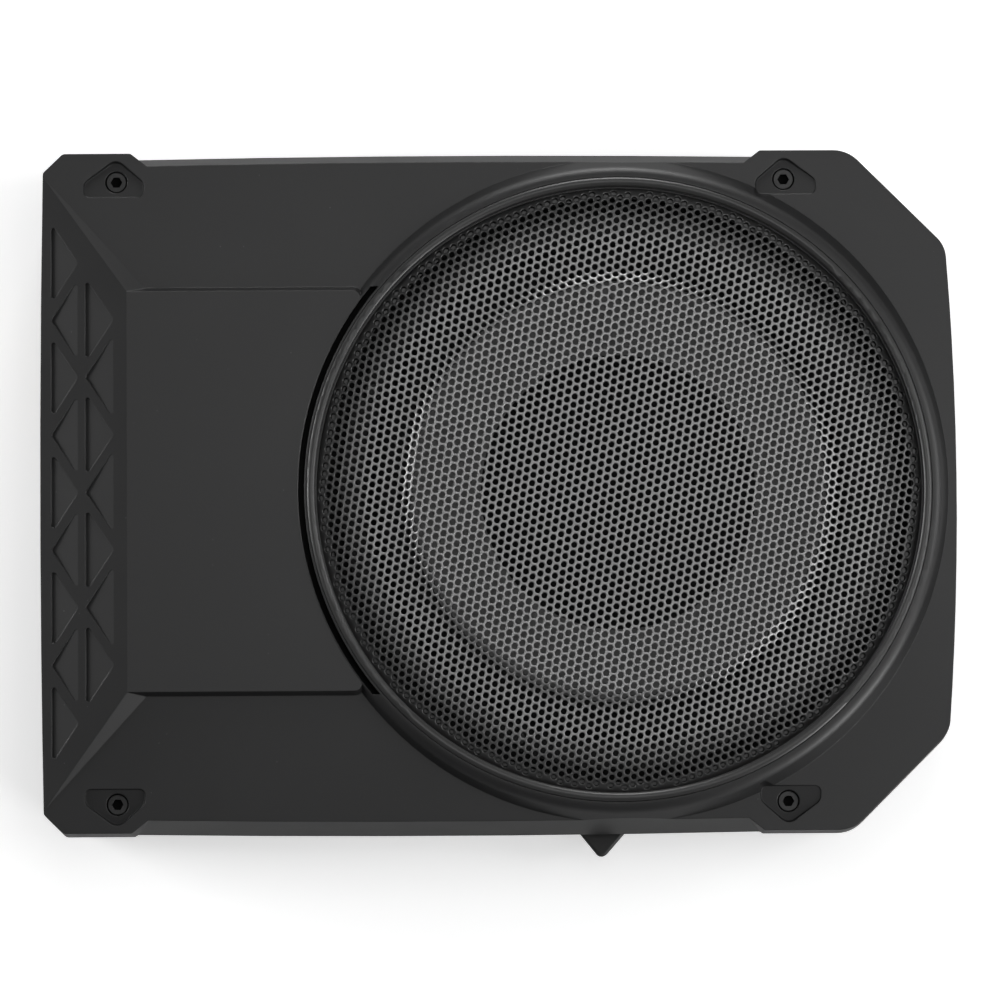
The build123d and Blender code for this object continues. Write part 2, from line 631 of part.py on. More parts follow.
# ================================================================ amplifier
def board():
    """Amplifier board: narrow under the connectors, wide between the heat sink pads."""
    plate = block(-163.2, -141, -94, 94, BOARD_Z, BOARD_TOP)
    plate += block(-141, -73, -116.5, 116.5, BOARD_Z, BOARD_TOP)
    for x, y in BOARD_SPOTS:
        plate -= rod(x, y, 0, 20, 1.5)
    return plate


def board_screw(x, y):
    """Pan head screw that holds the board on a tray boss."""
    return rod(x, y, BOARD_TOP, BOARD_TOP + 1.8, 2.8) + rod(x, y, 4.2, BOARD_TOP, 1.25)


def winding_turns():
    """Turns of flat wire around the toroidal core."""
    loops = []
    for i in range(20):
        loop = block(7.4, 19.6, -0.8, 0.8, 10.65, 29.6) - block(8.8, 18.2, -2, 2, 12.1, 28.2)
        loops.append(Pos(TOROID_X, TOROID_Y, 0) * Rot(0, 0, 18 * i) * loop)
    return loops


def inductor(x, y):
    """Drum core choke with its winding."""
    return turned([(0, BOARD_TOP), (9, BOARD_TOP), (9, 13), (7.6, 13), (7.6, 25), (9, 25),
                   (9, 27.5), (0, 27.5)], x, y)


def capacitor(x, y):
    """Electrolytic can with a rolled edge."""
    return turned([(0, BOARD_TOP), (8, BOARD_TOP), (8, 12.4), (7.6, 12.9), (8, 13.4), (8, 41.2),
                   (7.2, 42), (0, 42)], x, y)


def transistor(x, side):
    """Power transistor standing against the heat sink pad."""
    near, far = sorted((side * 113.2, side * 117.6))
    body = block(x - 5, x + 5, near, far, 14, 29)
    for shift in (-2.54, 0, 2.54):
        body += block(x + shift - 0.4, x + shift + 0.4, side * 115.4 - 0.3, side * 115.4 + 0.3,
                      BOARD_TOP, 14)
    return body


def thermal_pad(side):
    """Insulating pad between the transistors and the heat sink pad."""
    pad = block(SINK_X0, SINK_X1, *sorted((side * 117.6, side * SINK_Y)), 13.5, 28)
    return pad - Pos(CLAMP_X, side * 117.8, CLAMP_Z) * Rot(90, 0, 0) * Cylinder(1.8, 3)


def clamp_bar(side):
    """Steel bar that presses the transistors on the heat sink pad."""
    bar = block(SINK_X0, SINK_X1, *sorted((side * 111.4, side * 113.2)), 18.5, 25.5)
    return bar - Pos(CLAMP_X, side * 112, CLAMP_Z) * Rot(90, 0, 0) * Cylinder(1.8, 6)


def clamp_screw(side):
    """Screw through a clamp bar into the tray."""
    head = Pos(CLAMP_X, side * 110.3, CLAMP_Z) * Rot(90, 0, 0) * Cylinder(2.9, 2.2)
    shank = Pos(CLAMP_X, side * 118.7, CLAMP_Z) * Rot(90, 0, 0) * Cylinder(1.5, 14.6)
    return head + shank


# ================================================================ controls and connectors
def control_plate():
    """Control plate with the openings for every control and connector."""
    plate = block(PLATE_X, ALCOVE_BACK, -PLATE_HALF, PLATE_HALF, PLATE_LOW, PLATE_HIGH)
    plate -= block(-190, -150, 50.8, 89.2, 10.4, 25.2)
    plate -= block(-190, -150, 29.8, 50.2, 10.4, 23.7)
    plate -= block(-190, -150, 8.8, 27.2, 10.4, 21.2)
    plate -= block(-190, -150, -38.7, -25.3, 10.4, 23.8)
    for y in RCA_YS:
        plate -= pin(-190, -150, y, KNOB_Z, 4.3)
    plate -= pin(-190, -150, LED_Y, KNOB_Z, 1.6)
    for z, half_travel in (PHASE_SWITCH, MODE_SWITCH):
        half = 2 + half_travel + 0.1
        plate -= block(-190, -150, SWITCH_Y - half, SWITCH_Y + half, z - 1.7, z + 1.7)
    for y in KNOB_YS.values():
        plate -= pin(-190, -150, y, KNOB_Z, 3.6)
    for y in PLATE_SCREW_YS:
        for z in PLATE_SCREW_ZS:
            plate -= pin(-190, -150, y, z, 1.5)
    return plate


def plate_screw(y, z):
    """Small pan head screw in the control plate."""
    head = pin(PLATE_X - 1.4, PLATE_X, y, z, 2.3)
    head -= block(PLATE_X - 3, PLATE_X - 0.8, y - 1.5, y + 1.5, z - 0.3, z + 0.3)
    head -= block(PLATE_X - 3, PLATE_X - 0.8, y - 0.3, y + 0.3, z - 1.5, z + 1.5)
    return head + pin(PLATE_X, -163.6, y, z, 1.25)


def power_terminal():
    """Barrier strip for the supply, earth and remote turn-on wires."""
    body = block(-173, -153, 51, 89, BOARD_TOP, 25)
    for i in range(4):
        y = 51.8 + 12.13 * i
        body += block(-177.5, -173, y - 0.8, y + 0.8, BOARD_TOP, 25)
    for y in TERMINAL_YS:
        body -= pin(-180, -165.5, y, KNOB_Z, 1.6)
    return body


def terminal_plate(y):
    """Brass wire plate of one terminal."""
    return block(-174, -173, y - 4.6, y + 4.6, 12, 23.5) - pin(-180, -165, y, KNOB_Z, 1.6)


def terminal_screw(y):
    """Binding screw of one terminal."""
    head = pin(-176.6, -174, y, KNOB_Z, 3.7)
    head -= block(-178, -175.4, y - 2.6, y + 2.6, KNOB_Z - 0.45, KNOB_Z + 0.45)
    head -= block(-178, -175.4, y - 0.45, y + 0.45, KNOB_Z - 2.6, KNOB_Z + 2.6)
    return head + pin(-174, -166, y, KNOB_Z, 1.55)


def fuse_holder():
    """Socket for one blade fuse."""
    body = block(-172, -154, 30, 50, BOARD_TOP, 23.5)
    body -= block(-180, -164, 31.2, 48.8, 14.9, 20.3)
    for y in FUSE_BLADE_YS:
        body -= block(-165, -156.5, y - 2.7, y + 2.7, 17.1, 18.1)
    return body


def fuse():
    """Blade fuse with two blades and a waisted plastic body."""
    body = block(-176.5, -164, 31.4, 48.6, 15.1, 20.1)
    body -= block(-174.6, -166, 36, 44, 14, 15.7)
    body -= block(-174.6, -166, 36, 44, 19.5, 21)
    for y in FUSE_BLADE_YS:
        body += block(-164, -157, y - 2.6, y + 2.6, 17.2, 18.0)
    return body


def input_socket():
    """High-level input socket."""
    body = block(-174.5, -157, 9, 27, BOARD_TOP, 21)
    body -= block(-180, -165, 10.6, 25.4, 12.2, 19.4)
    for y in INPUT_PIN_YS:
        body -= pin(-170, -162, y, 15.8, 0.65)
    return body


def rca_housing():
    """Moulded block behind the two phono jacks."""
    return block(-166.9, -152, -25.2, 4, BOARD_TOP, 24.6)


def rca_shell(y):
    """Metal shell of a phono jack with its flange."""
    shell = pin(-178.3, -167, y, KNOB_Z, 4.15) + pin(-170.4, PLATE_X - 0.02, y, KNOB_Z, 5.6)
    return shell - pin(-180, -160, y, KNOB_Z, 3.5)


def rca_insert(y):
    """Coloured insulator of a phono jack."""
    return pin(-176.8, -167, y, KNOB_Z, 3.45) - pin(-180, -168.5, y, KNOB_Z, 1.7)


def remote_port():
    """Socket for the wired bass level control."""
    body = block(-171.5, -155, -38.5, -25.5, BOARD_TOP, 23.6)
    body -= block(-180, -159, -37.2, -26.8, 12.4, 19.8)
    return body - block(-180, -159, -34.2, -29.8, 19.0, 21.6)


def led():
    """Power lamp."""
    lens = pin(-171.4, -165, LED_Y, KNOB_Z, 1.5)
    lens = fillet(lens.edges().sort_by(Axis.X)[0], 1.3)
    return lens + pin(-166.9, -165, LED_Y, KNOB_Z, 2.0)


def switch_case(z, half_travel):
    """Body of a slide switch behind the plate."""
    half = 2 + half_travel + 0.1
    body = block(-166.9, -158, SWITCH_Y - 6.5, SWITCH_Y + 6.5, z - 2.7, z + 2.7)
    return body - block(-170, -163.1, SWITCH_Y - half, SWITCH_Y + half, z - 1.6, z + 1.6)


def slider(z, y):
    """Sliding actuator of a switch, with finger ridges."""
    body = block(-172.0, -163.2, y - 2, y + 2, z - 1.5, z + 1.5)
    for shift in (-1.1, 0, 1.1):
        body -= block(-173, -171.5, y + shift - 0.25, y + shift + 0.25, z - 2, z + 2)
    return body


def pot_case(y):
    """Body of a rotary control behind the plate."""
    body = block(-166.9, -156, y - 5, y + 5, BOARD_TOP, 23.6)
    return body - pin(-170, -160.3, y, KNOB_Z, SHAFT_R + FIT)


def pot_shaft(y):
    """Shaft of a rotary control."""
    return pin(-177, -160.5, y, KNOB_Z, SHAFT_R)


def knob(y):
    """Fluted knob with a pointer line, pressed on its shaft."""
    body = Pos(-174.8, y, KNOB_Z) * Rot(0, -90, 0) * Cone(6.0, 5.5, 9.0)
    body = chamfer(body.edges().sort_by(Axis.X)[0], 0.6)
    for i in range(18):
        flute = Pos(-174.8, y, KNOB_Z) * Rot(20 * i, 0, 0) * Pos(0, 0, 6.35)
        body -= flute * Rot(0, 90, 0) * Cylinder(0.7, 14)
    body -= pin(-177.2, -165, y, KNOB_Z, SHAFT_R + 0.01)
    return body - block(-180, -178.9, y - 0.35, y + 0.35, KNOB_Z + 1.0, KNOB_Z + 6)


# ================================================================ the assembly
PARTS["top_cover"] = cover()
PARTS["base_tray"] = tray()
PARTS["cover_seal"] = seal()
PARTS["cover_screws"] = group([cap_screw(x, y) for x, y in COVER_SCREWS])
PARTS["rubber_feet"] = group([foot(x, y) for x, y in FOOT_SPOTS])
PARTS["foot_screws"] = group([foot_screw(x, y) for x, y in FOOT_SPOTS])
PARTS["side_bumper"] = bumper()
PARTS["grille_ring"] = trim_ring()
PARTS["grille_mesh"] = grille()

PARTS["woofer_basket"] = basket()
PARTS["woofer_gasket"] = gasket()
PARTS["woofer_screws"] = group([woofer_screw(x, y) for x, y in woofer_screw_spots()])
PARTS["surround"] = surround()
PARTS["cone"] = cone()
PARTS["dust_cap"] = dust_cap()
PARTS["voice_coil_former"] = tube(24.75, 25.1, 16, 42)
PARTS["voice_coil"] = tube(25.12, 25.9, 17.5, 31.5)
PARTS["spider"] = spider()
PARTS["top_plate"] = tube(26.9, 50, 22, 27)
PARTS["magnet_ring"] = tube(30, 55, 9, 22)
PARTS["back_plate"] = back_plate()
PARTS["terminal_strip"] = terminal_strip()
PARTS["tinsel_leads"] = group([tinsel_lead(side) for side in (1, -1)])
PARTS["speaker_wires"] = group([speaker_wire(side) for side in (1, -1)])

PARTS["amplifier_board"] = board()
PARTS["board_screws"] = group([board_screw(x, y) for x, y in BOARD_SPOTS])
PARTS["toroid_core"] = turned([(9, 12.3), (18, 12.3), (18, 28), (9, 28)], TOROID_X, TOROID_Y)
PARTS["toroid_winding"] = group(winding_turns())
PARTS["filter_inductors"] = group([inductor(-97, 46), inductor(-97, 68)])
PARTS["capacitors"] = group([capacitor(-93, -20), capacitor(-93, 0), capacitor(-93, 20),
                             capacitor(-113, 0)])
PARTS["power_transistors"] = group([transistor(x, side) for x in (-129, -115, -101, -87)
                                    for side in (1, -1)])
PARTS["thermal_pads"] = group([thermal_pad(side) for side in (1, -1)])
PARTS["clamp_bars"] = group([clamp_bar(side) for side in (1, -1)])
PARTS["clamp_screws"] = group([clamp_screw(side) for side in (1, -1)])

PARTS["control_plate"] = control_plate()
PARTS["control_plate_screws"] = group([plate_screw(y, z) for y in PLATE_SCREW_YS
                                       for z in PLATE_SCREW_ZS])
PARTS["power_terminal"] = power_terminal()
PARTS["terminal_plates"] = group([terminal_plate(y) for y in TERMINAL_YS])
PARTS["terminal_screws"] = group([terminal_screw(y) for y in TERMINAL_YS])
PARTS["fuse_holder"] = fuse_holder()
PARTS["main_fuse"] = fuse()
PARTS["line_input_socket"] = input_socket()
PARTS["input_pins"] = group([pin(-170, -162.2, y, 15.8, 0.6) for y in INPUT_PIN_YS])
PARTS["rca_housing"] = rca_housing()
PARTS["rca_shells"] = group([rca_shell(y) for y in RCA_YS])
PARTS["rca_inserts"] = group([rca_insert(y) for y in RCA_YS])
PARTS["remote_port"] = remote_port()
PARTS["power_led"] = led()
PARTS["switch_cases"] = group([switch_case(*PHASE_SWITCH), switch_case(*MODE_SWITCH)])
PARTS["phase_slider"] = slider(PHASE_SWITCH[0], SWITCH_Y + PHASE_SWITCH[1])
PARTS["mode_slider"] = slider(MODE_SWITCH[0], SWITCH_Y)
PARTS["pot_cases"] = group([pot_case(y) for y in KNOB_YS.values()])
for knob_name, knob_y in KNOB_YS.items():
    PARTS[knob_name + "_shaft"] = pot_shaft(knob_y)
    PARTS[knob_name + "_knob"] = knob(knob_y)

for name, shape in PARTS.items():
    export_step(shape, f"parts/{name}.step")
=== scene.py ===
import math

import bpy
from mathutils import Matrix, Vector
from mathutils.geometry import delaunay_2d_cdt
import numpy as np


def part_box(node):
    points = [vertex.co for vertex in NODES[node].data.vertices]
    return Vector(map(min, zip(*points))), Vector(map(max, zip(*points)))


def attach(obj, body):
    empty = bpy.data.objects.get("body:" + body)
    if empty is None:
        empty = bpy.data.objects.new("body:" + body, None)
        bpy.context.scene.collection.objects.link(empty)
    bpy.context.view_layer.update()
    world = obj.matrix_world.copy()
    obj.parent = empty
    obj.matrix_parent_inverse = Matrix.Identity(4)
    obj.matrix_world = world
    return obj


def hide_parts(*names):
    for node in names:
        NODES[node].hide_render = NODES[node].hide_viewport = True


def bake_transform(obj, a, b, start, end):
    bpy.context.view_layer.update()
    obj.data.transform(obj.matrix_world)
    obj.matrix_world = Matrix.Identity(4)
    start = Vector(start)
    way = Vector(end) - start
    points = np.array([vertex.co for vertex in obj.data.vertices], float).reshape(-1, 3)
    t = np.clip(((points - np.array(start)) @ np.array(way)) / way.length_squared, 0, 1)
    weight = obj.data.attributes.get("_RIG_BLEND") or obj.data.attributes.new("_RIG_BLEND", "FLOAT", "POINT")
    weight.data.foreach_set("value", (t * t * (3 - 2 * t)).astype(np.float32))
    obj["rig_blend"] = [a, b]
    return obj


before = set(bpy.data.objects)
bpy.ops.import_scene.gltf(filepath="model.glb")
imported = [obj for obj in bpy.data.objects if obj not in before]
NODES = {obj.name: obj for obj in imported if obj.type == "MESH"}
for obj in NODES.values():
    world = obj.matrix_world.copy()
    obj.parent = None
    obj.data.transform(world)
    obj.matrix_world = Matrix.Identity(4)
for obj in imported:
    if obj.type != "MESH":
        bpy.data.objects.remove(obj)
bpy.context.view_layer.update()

# Looks of a powered under-seat subwoofer. Everything is in metres, in the frame of the
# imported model: +X towards the loudspeaker end, +Y across the case, +Z up.

MM = 0.001

RING_LOW, RING_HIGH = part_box("grille_ring")
MESH_LOW, MESH_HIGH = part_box("grille_mesh")
RING_X = (RING_LOW.x + RING_HIGH.x) / 2    # the woofer axis
GRILLE_R = MESH_HIGH.x - RING_X
GRILLE_TOP = MESH_HIGH.z
GRILLE_LOW = MESH_LOW.z
PANEL_Z = 68.0 * MM                        # top of the raised flat panel
FLOOR_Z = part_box("rubber_feet")[0].z


# ================================================================ node helpers
def add(tree, kind, inputs=None, **settings):
    """A shader node with its settings. An input given as a socket is linked to it."""
    node = tree.nodes.new("ShaderNode" + kind)
    for key, value in settings.items():
        setattr(node, key, value)
    for key, value in (inputs or {}).items():
        if isinstance(value, bpy.types.NodeSocket):
            tree.links.new(value, node.inputs[key])
        else:
            node.inputs[key].default_value = value
    return node


def colour(value):
    """A colour with alpha from a grey level or an (r, g, b) triple."""
    if isinstance(value, (int, float)):
        value = (value, value, value)
    return (value[0], value[1], value[2], 1.0)


def math_node(tree, operation, *values):
    """The output of a Math node."""
    node = add(tree, "Math", operation=operation)
    for i, value in enumerate(values):
        if isinstance(value, bpy.types.NodeSocket):
            tree.links.new(value, node.inputs[i])
        else:
            node.inputs[i].default_value = value
    return node.outputs[0]


def mix(tree, factor, a, b):
    """The colour between a and b."""
    node = add(tree, "Mix", data_type="RGBA")
    for socket, value in ((node.inputs[0], factor), (node.inputs[6], a), (node.inputs[7], b)):
        if isinstance(value, bpy.types.NodeSocket):
            tree.links.new(value, socket)
        else:
            socket.default_value = value
    return node.outputs[2]


def spread(tree, value, low, high, to_low=0.0, to_high=1.0):
    """A value mapped from one range to another and held at its ends."""
    node = add(tree, "MapRange", {"Value": value, "From Min": low, "From Max": high,
                                  "To Min": to_low, "To Max": to_high})
    return node.outputs["Result"]


def noise(tree, where, size, detail, rough=0.5, stretch=None):
    """Noise whose features are about size metres wide."""
    if stretch is not None:
        where = add(tree, "VectorMath", {0: where, 1: stretch}, operation="MULTIPLY").outputs[0]
    node = add(tree, "TexNoise", {"Vector": where, "Scale": 1 / size, "Detail": detail,
                                  "Roughness": rough})
    return node.outputs["Fac"]


BRUSH_STRETCH = 0.02       # width of a brushed line as a share of its length
SPECK_R = 0.07             # radius of a dust speck, as a share of its cell
STEEP, LEVEL = 0.3, 0.75   # upward part of the normal on a wall and on a level surface
WALL_SHINE = 0.25          # shine of a wall as a share of a level surface's
FAR = 1.0                  # metres, beyond every part of the object


class Finish:
    """A material under construction: base colour, roughness and relief are built up in turn."""

    def __init__(self, name, base, roughness, metallic=0.0, specular=0.5):
        self.material = bpy.data.materials.new(name)
        self.material.use_nodes = True
        self.tree = self.material.node_tree
        self.shader = self.tree.nodes["Principled BSDF"]
        self.where = add(self.tree, "TexCoord").outputs["Object"]
        self.base = colour(base)
        self.rough = roughness
        self.normal = None
        self.shader.inputs["Metallic"].default_value = metallic
        self.shader.inputs["Specular IOR Level"].default_value = specular
        self.material.diffuse_color = colour(base)

    def round_edges(self, radius):
        """Soft highlights on edges that are sharp in the mesh."""
        node = add(self.tree, "Bevel", {"Radius": radius}, samples=4)
        self.normal = node.outputs["Normal"]
        return self

    def clouds(self, size, amount):
        """Slow changes of tone and gloss, as handling and moulding leave them."""
        value = noise(self.tree, self.where, size, detail=3.0)
        share = spread(self.tree, value, 0.35, 0.65)
        dark = mix(self.tree, 1.0 - amount, (0, 0, 0, 1), self.base)
        self.base = mix(self.tree, share, dark, self.base)
        self.rough = math_node(self.tree, "ADD", self.rough,
                               spread(self.tree, value, 0.3, 0.7, -amount * 0.25, amount * 0.25))
        return self

    def bump(self, height, depth):
        """Relief of the given depth from a height between 0 and 1."""
        inputs = {"Height": height, "Distance": depth, "Strength": 1.0}
        if self.normal is not None:
            inputs["Normal"] = self.normal
        self.normal = add(self.tree, "Bump", inputs).outputs["Normal"]
        return self

    def grain(self, size, depth):
        """Fine random relief, as on a spark eroded or powder coated surface."""
        return self.bump(noise(self.tree, self.where, size, detail=2.0, rough=0.6), depth)

    def pits(self, size, depth):
        """Rounded cells, as in foam or a pressed sinter."""
        cells = add(self.tree, "TexVoronoi", {"Vector": self.where, "Scale": 1 / size})
        return self.bump(cells.outputs["Distance"], depth)

    def brushed(self, size, depth, direction):
        """Fine parallel lines along one axis."""
        stretch = [1.0, 1.0, 1.0]
        stretch["xyz".index(direction)] = BRUSH_STRETCH
        lines = noise(self.tree, self.where, size, detail=3.0, stretch=tuple(stretch))
        self.rough = math_node(self.tree, "ADD", self.rough,
                               spread(self.tree, lines, 0.3, 0.7, -0.06, 0.06))
        return self.bump(lines, depth)

    def specks(self, size, share, tone):
        """Sparse light dust specks."""
        cells = add(self.tree, "TexVoronoi", {"Vector": self.where, "Scale": 1 / size})
        chance = add(self.tree, "SeparateColor", {"Color": cells.outputs["Color"]}).outputs[0]
        chosen = math_node(self.tree, "LESS_THAN", chance, share)
        near = math_node(self.tree, "LESS_THAN", cells.outputs["Distance"], SPECK_R)
        self.base = mix(self.tree, math_node(self.tree, "MULTIPLY", chosen, near), self.base,
                        colour(tone))
        return self

    def fibres(self, size, tone, depth):
        """Short pressed fibres, as in paper pulp."""
        bent = add(self.tree, "TexNoise", {"Vector": self.where, "Scale": 1 / size,
                                           "Detail": 4.0, "Roughness": 0.7,
                                           "Distortion": 2.5}).outputs["Fac"]
        self.base = mix(self.tree, spread(self.tree, bent, 0.48, 0.72), self.base, colour(tone))
        return self.bump(bent, depth)

    def weave(self, size, tone, depth):
        """Threads that cross at right angles."""
        inputs = {"Vector": self.where, "Scale": 1 / (math.pi * size)}
        over = add(self.tree, "TexWave", inputs, bands_direction="X").outputs["Fac"]
        under = add(self.tree, "TexWave", inputs, bands_direction="Y").outputs["Fac"]
        cloth = math_node(self.tree, "MAXIMUM", over, under)
        self.base = mix(self.tree, cloth, colour(tone), self.base)
        return self.bump(cloth, depth)

    def zone(self, axis, low, high, tone, roughness=None):
        """A different colour between two positions along one axis."""
        split = add(self.tree, "SeparateXYZ", {"Vector": self.where})
        position = split.outputs["XYZ".index(axis)]
        above = math_node(self.tree, "GREATER_THAN", position, low)
        below = math_node(self.tree, "LESS_THAN", position, high)
        return self.blend_in(math_node(self.tree, "MULTIPLY", above, below), tone, roughness)

    def around(self, inner, outer, low, high, tone, roughness=None):
        """A different colour in a ring about the woofer axis, between two heights."""
        centre = add(self.tree, "VectorMath", {0: self.where, 1: (RING_X, 0, 0)},
                     operation="SUBTRACT").outputs[0]
        height = add(self.tree, "SeparateXYZ", {"Vector": centre}).outputs["Z"]
        flat = add(self.tree, "VectorMath", {0: centre, 1: (1, 1, 0)},
                   operation="MULTIPLY").outputs[0]
        radius = add(self.tree, "VectorMath", {0: flat}, operation="LENGTH").outputs["Value"]
        inside = 1.0
        for value, limit, test in ((radius, inner, "GREATER_THAN"), (radius, outer, "LESS_THAN"),
                                   (height, low, "GREATER_THAN"), (height, high, "LESS_THAN")):
            inside = math_node(self.tree, "MULTIPLY", inside,
                               math_node(self.tree, test, value, limit))
        return self.blend_in(inside, tone, roughness)

    def blend_in(self, share, tone, roughness):
        """Mixes another colour and roughness in by a share between 0 and 1."""
        self.base = mix(self.tree, share, self.base, colour(tone))
        if roughness is not None:
            change = math_node(self.tree, "SUBTRACT", roughness, self.rough)
            self.rough = math_node(self.tree, "ADD", self.rough,
                                   math_node(self.tree, "MULTIPLY", share, change))
        return self

    def dull_walls(self, level):
        """Coarser moulding texture on steep walls: they shine less than the level surfaces."""
        normal = add(self.tree, "NewGeometry").outputs["Normal"]
        up = add(self.tree, "SeparateXYZ", {"Vector": normal}).outputs["Z"]
        shine = spread(self.tree, up, STEEP, LEVEL, level * WALL_SHINE, level)
        self.tree.links.new(shine, self.shader.inputs["Specular IOR Level"])
        return self

    def done(self, **inputs):
        """The finished material. Extra inputs go to the shader."""
        values = {"Base Color": self.base, "Roughness": self.rough}
        if self.normal is not None:
            values["Normal"] = self.normal
        for key, value in values.items():
            if isinstance(value, bpy.types.NodeSocket):
                self.tree.links.new(value, self.shader.inputs[key])
            else:
                self.shader.inputs[key].default_value = value
        for key, value in inputs.items():
            self.shader.inputs[key.replace("_", " ")].default_value = value
        return self.material


# ================================================================ materials
WELL_R, WELL_TOP = 117.5 * MM, 60 * MM                   # the cover's opening under the grille
GROOVE_IN_R, GROOVE_OUT_R = 123.9 * MM, 126.7 * MM       # groove around the collar, painted near black as its shade
GROOVE_TOP = 67.2 * MM
SHOULDER_SHADE_TONES = ((101, 0.8), (104, 0.65), (107, 0.5), (110, 0.4))   # painted shade on the grille's sloping shoulder: from mm out, share of tone
SHOULDER_OUT_R = 125 * MM
CAP_RIM_R, CAP_RIM_OUT_R = 51.8 * MM, 60 * MM            # glue line around the dust cap
SOCKET_SHADE_DEPTH = 1.0 * MM      # below this depth a cover screw's socket gets painted shade
RIGHT_SCREW_DROP = 1.84 * MM       # the loudspeaker end's cover screws sit lower
CAN_TOP_DEPTH = 0.6 * MM           # bare aluminium at the top of a capacitor


def textured_case():
    """Moulded black plastic with a fine satin texture, with painted shade in the well under the grille and
    in the groove around the collar.
    """
    finish = Finish("case_plastic", (0.0135, 0.0135, 0.0138), 0.44)
    finish.round_edges(0.55 * MM).clouds(60 * MM, 0.10)
    finish.grain(0.42 * MM, 0.016 * MM).grain(1.6 * MM, 0.012 * MM)
    finish.specks(3.1 * MM, 0.05, 0.07)
    # painted shade: the cover's well under the grille is coloured near black and made dull, as the shade
    # inside it
    finish.around(-FAR, WELL_R, -FAR, WELL_TOP, 0.004, 0.85).dull_walls(0.5)
    # painted shade: the groove between the collar and the panel is coloured near black
    return finish.around(GROOVE_IN_R, GROOVE_OUT_R, -FAR, GROOVE_TOP, 0.001, 0.95).done()


def trim_plastic():
    """Satin black trim, smoother than the case."""
    finish = Finish("trim_plastic", 0.03, 0.36).round_edges(0.35 * MM).clouds(40 * MM, 0.1)
    return finish.grain(0.3 * MM, 0.006 * MM).specks(2.6 * MM, 0.04, 0.07).done()


def powder_coat(name, base, roughness, size, depth, edge=None):
    """Powder coated metal with a slight orange peel."""
    finish = Finish(name, base, roughness)
    if edge:
        finish.round_edges(edge)
    finish.clouds(30 * MM, 0.12)
    return finish.grain(size, depth).grain(size * 0.35, depth * 0.3).done()


def cap_screw_steel():
    """Blackened socket head screw, with painted shade, near black and dull, inside the socket."""
    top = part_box("cover_screws")[1].z
    finish = Finish("cap_screw", 0.03, 0.4, metallic=0.4).round_edges(0.15 * MM)
    finish.clouds(3 * MM, 0.25)
    split = add(finish.tree, "SeparateXYZ", {"Vector": finish.where})
    right = math_node(finish.tree, "GREATER_THAN", split.outputs["X"], 0.0)
    level = math_node(finish.tree, "ADD", split.outputs["Z"],
                      math_node(finish.tree, "MULTIPLY", right, RIGHT_SCREW_DROP))
    inside = math_node(finish.tree, "LESS_THAN", level, top - SOCKET_SHADE_DEPTH)
    # painted shade: the inside of the socket is coloured near black and made dull
    finish.blend_in(inside, 0.0015, 0.9)
    return finish.grain(0.25 * MM, 0.008 * MM).done()


def black_screw_steel():
    """Blackened screw, a little worn."""
    finish = Finish("black_screw", 0.035, 0.38, metallic=0.5).round_edges(0.15 * MM)
    return finish.clouds(3 * MM, 0.25).grain(0.25 * MM, 0.008 * MM).done()


def grille_coat(name, base, roughness, metallic):
    """Thin metallic coat on the perforated sheet, with painted shade that darkens it in steps on the pressed
    shoulder.
    """
    finish = Finish(name, base, roughness, metallic=metallic).clouds(30 * MM, 0.08)
    # painted shade: the sloping shoulder gets darker in steps towards the rim
    for inner, share in SHOULDER_SHADE_TONES:
        finish.around(inner * MM, SHOULDER_OUT_R, 0.0, FAR, base * share)
    return finish.grain(0.5 * MM, 0.006 * MM).grain(0.17 * MM, 0.002 * MM).done()


def cap_film():
    """Coated dust cap, with a lighter line of glue where it meets the cone."""
    finish = Finish("cap_paper", 0.008, 0.7, specular=0.2).clouds(25 * MM, 0.15)
    finish.around(CAP_RIM_R, CAP_RIM_OUT_R, 0.0, FAR, 0.012)
    return finish.fibres(0.7 * MM, 0.03, 0.02 * MM).done()


def cone_paper():
    """Pressed grey fibre cone."""
    finish = Finish("cone_paper", 0.19, 0.6, specular=0.3).clouds(20 * MM, 0.12)
    return finish.fibres(0.9 * MM, 0.24, 0.03 * MM).done()


def plain(name, base, roughness, size, depth, tone=0.1, **inputs):
    """A moulded surface with fine grain and slow tone changes."""
    finish = Finish(name, base, roughness).clouds(6 * MM, tone)
    return finish.grain(size, depth).done(**inputs)


def cellular(name, base, roughness, cloud_size, pit_size, depth):
    """Foam or sintered ferrite: a surface of small rounded cells."""
    finish = Finish(name, base, roughness).clouds(cloud_size, 0.2)
    return finish.pits(pit_size, depth).done()


def brushed_metal(name, base, roughness, direction="x"):
    """Machined or drawn bare metal."""
    finish = Finish(name, base, roughness, metallic=1.0).clouds(8 * MM, 0.12)
    return finish.brushed(0.12 * MM, 0.004 * MM, direction).done()


def knob_plastic():
    """Moulded control knob with softened edges."""
    finish = Finish("knob_plastic", 0.015, 0.42).round_edges(0.2 * MM).clouds(5 * MM, 0.1)
    return finish.grain(0.25 * MM, 0.008 * MM).done()


def spider_cloth():
    """Resin stiffened cloth."""
    finish = Finish("spider_cloth", (0.42, 0.28, 0.1), 0.8).clouds(9 * MM, 0.2)
    return finish.weave(0.6 * MM, (0.25, 0.15, 0.05), 0.06 * MM).done()


def board_mask():
    """Green solder mask, raised over a grid of copper traces."""
    finish = Finish("board_green", (0.006, 0.045, 0.02), 0.32).clouds(12 * MM, 0.15)
    bricks = add(finish.tree, "TexBrick", {"Vector": finish.where, "Scale": 1 / (22 * MM),
                                           "Mortar Size": 0.03})
    traces = bricks.outputs["Fac"]
    finish.base = mix(finish.tree, traces, finish.base, (0.02, 0.12, 0.05, 1))
    return finish.bump(traces, 0.03 * MM).grain(0.5 * MM, 0.004 * MM).done()


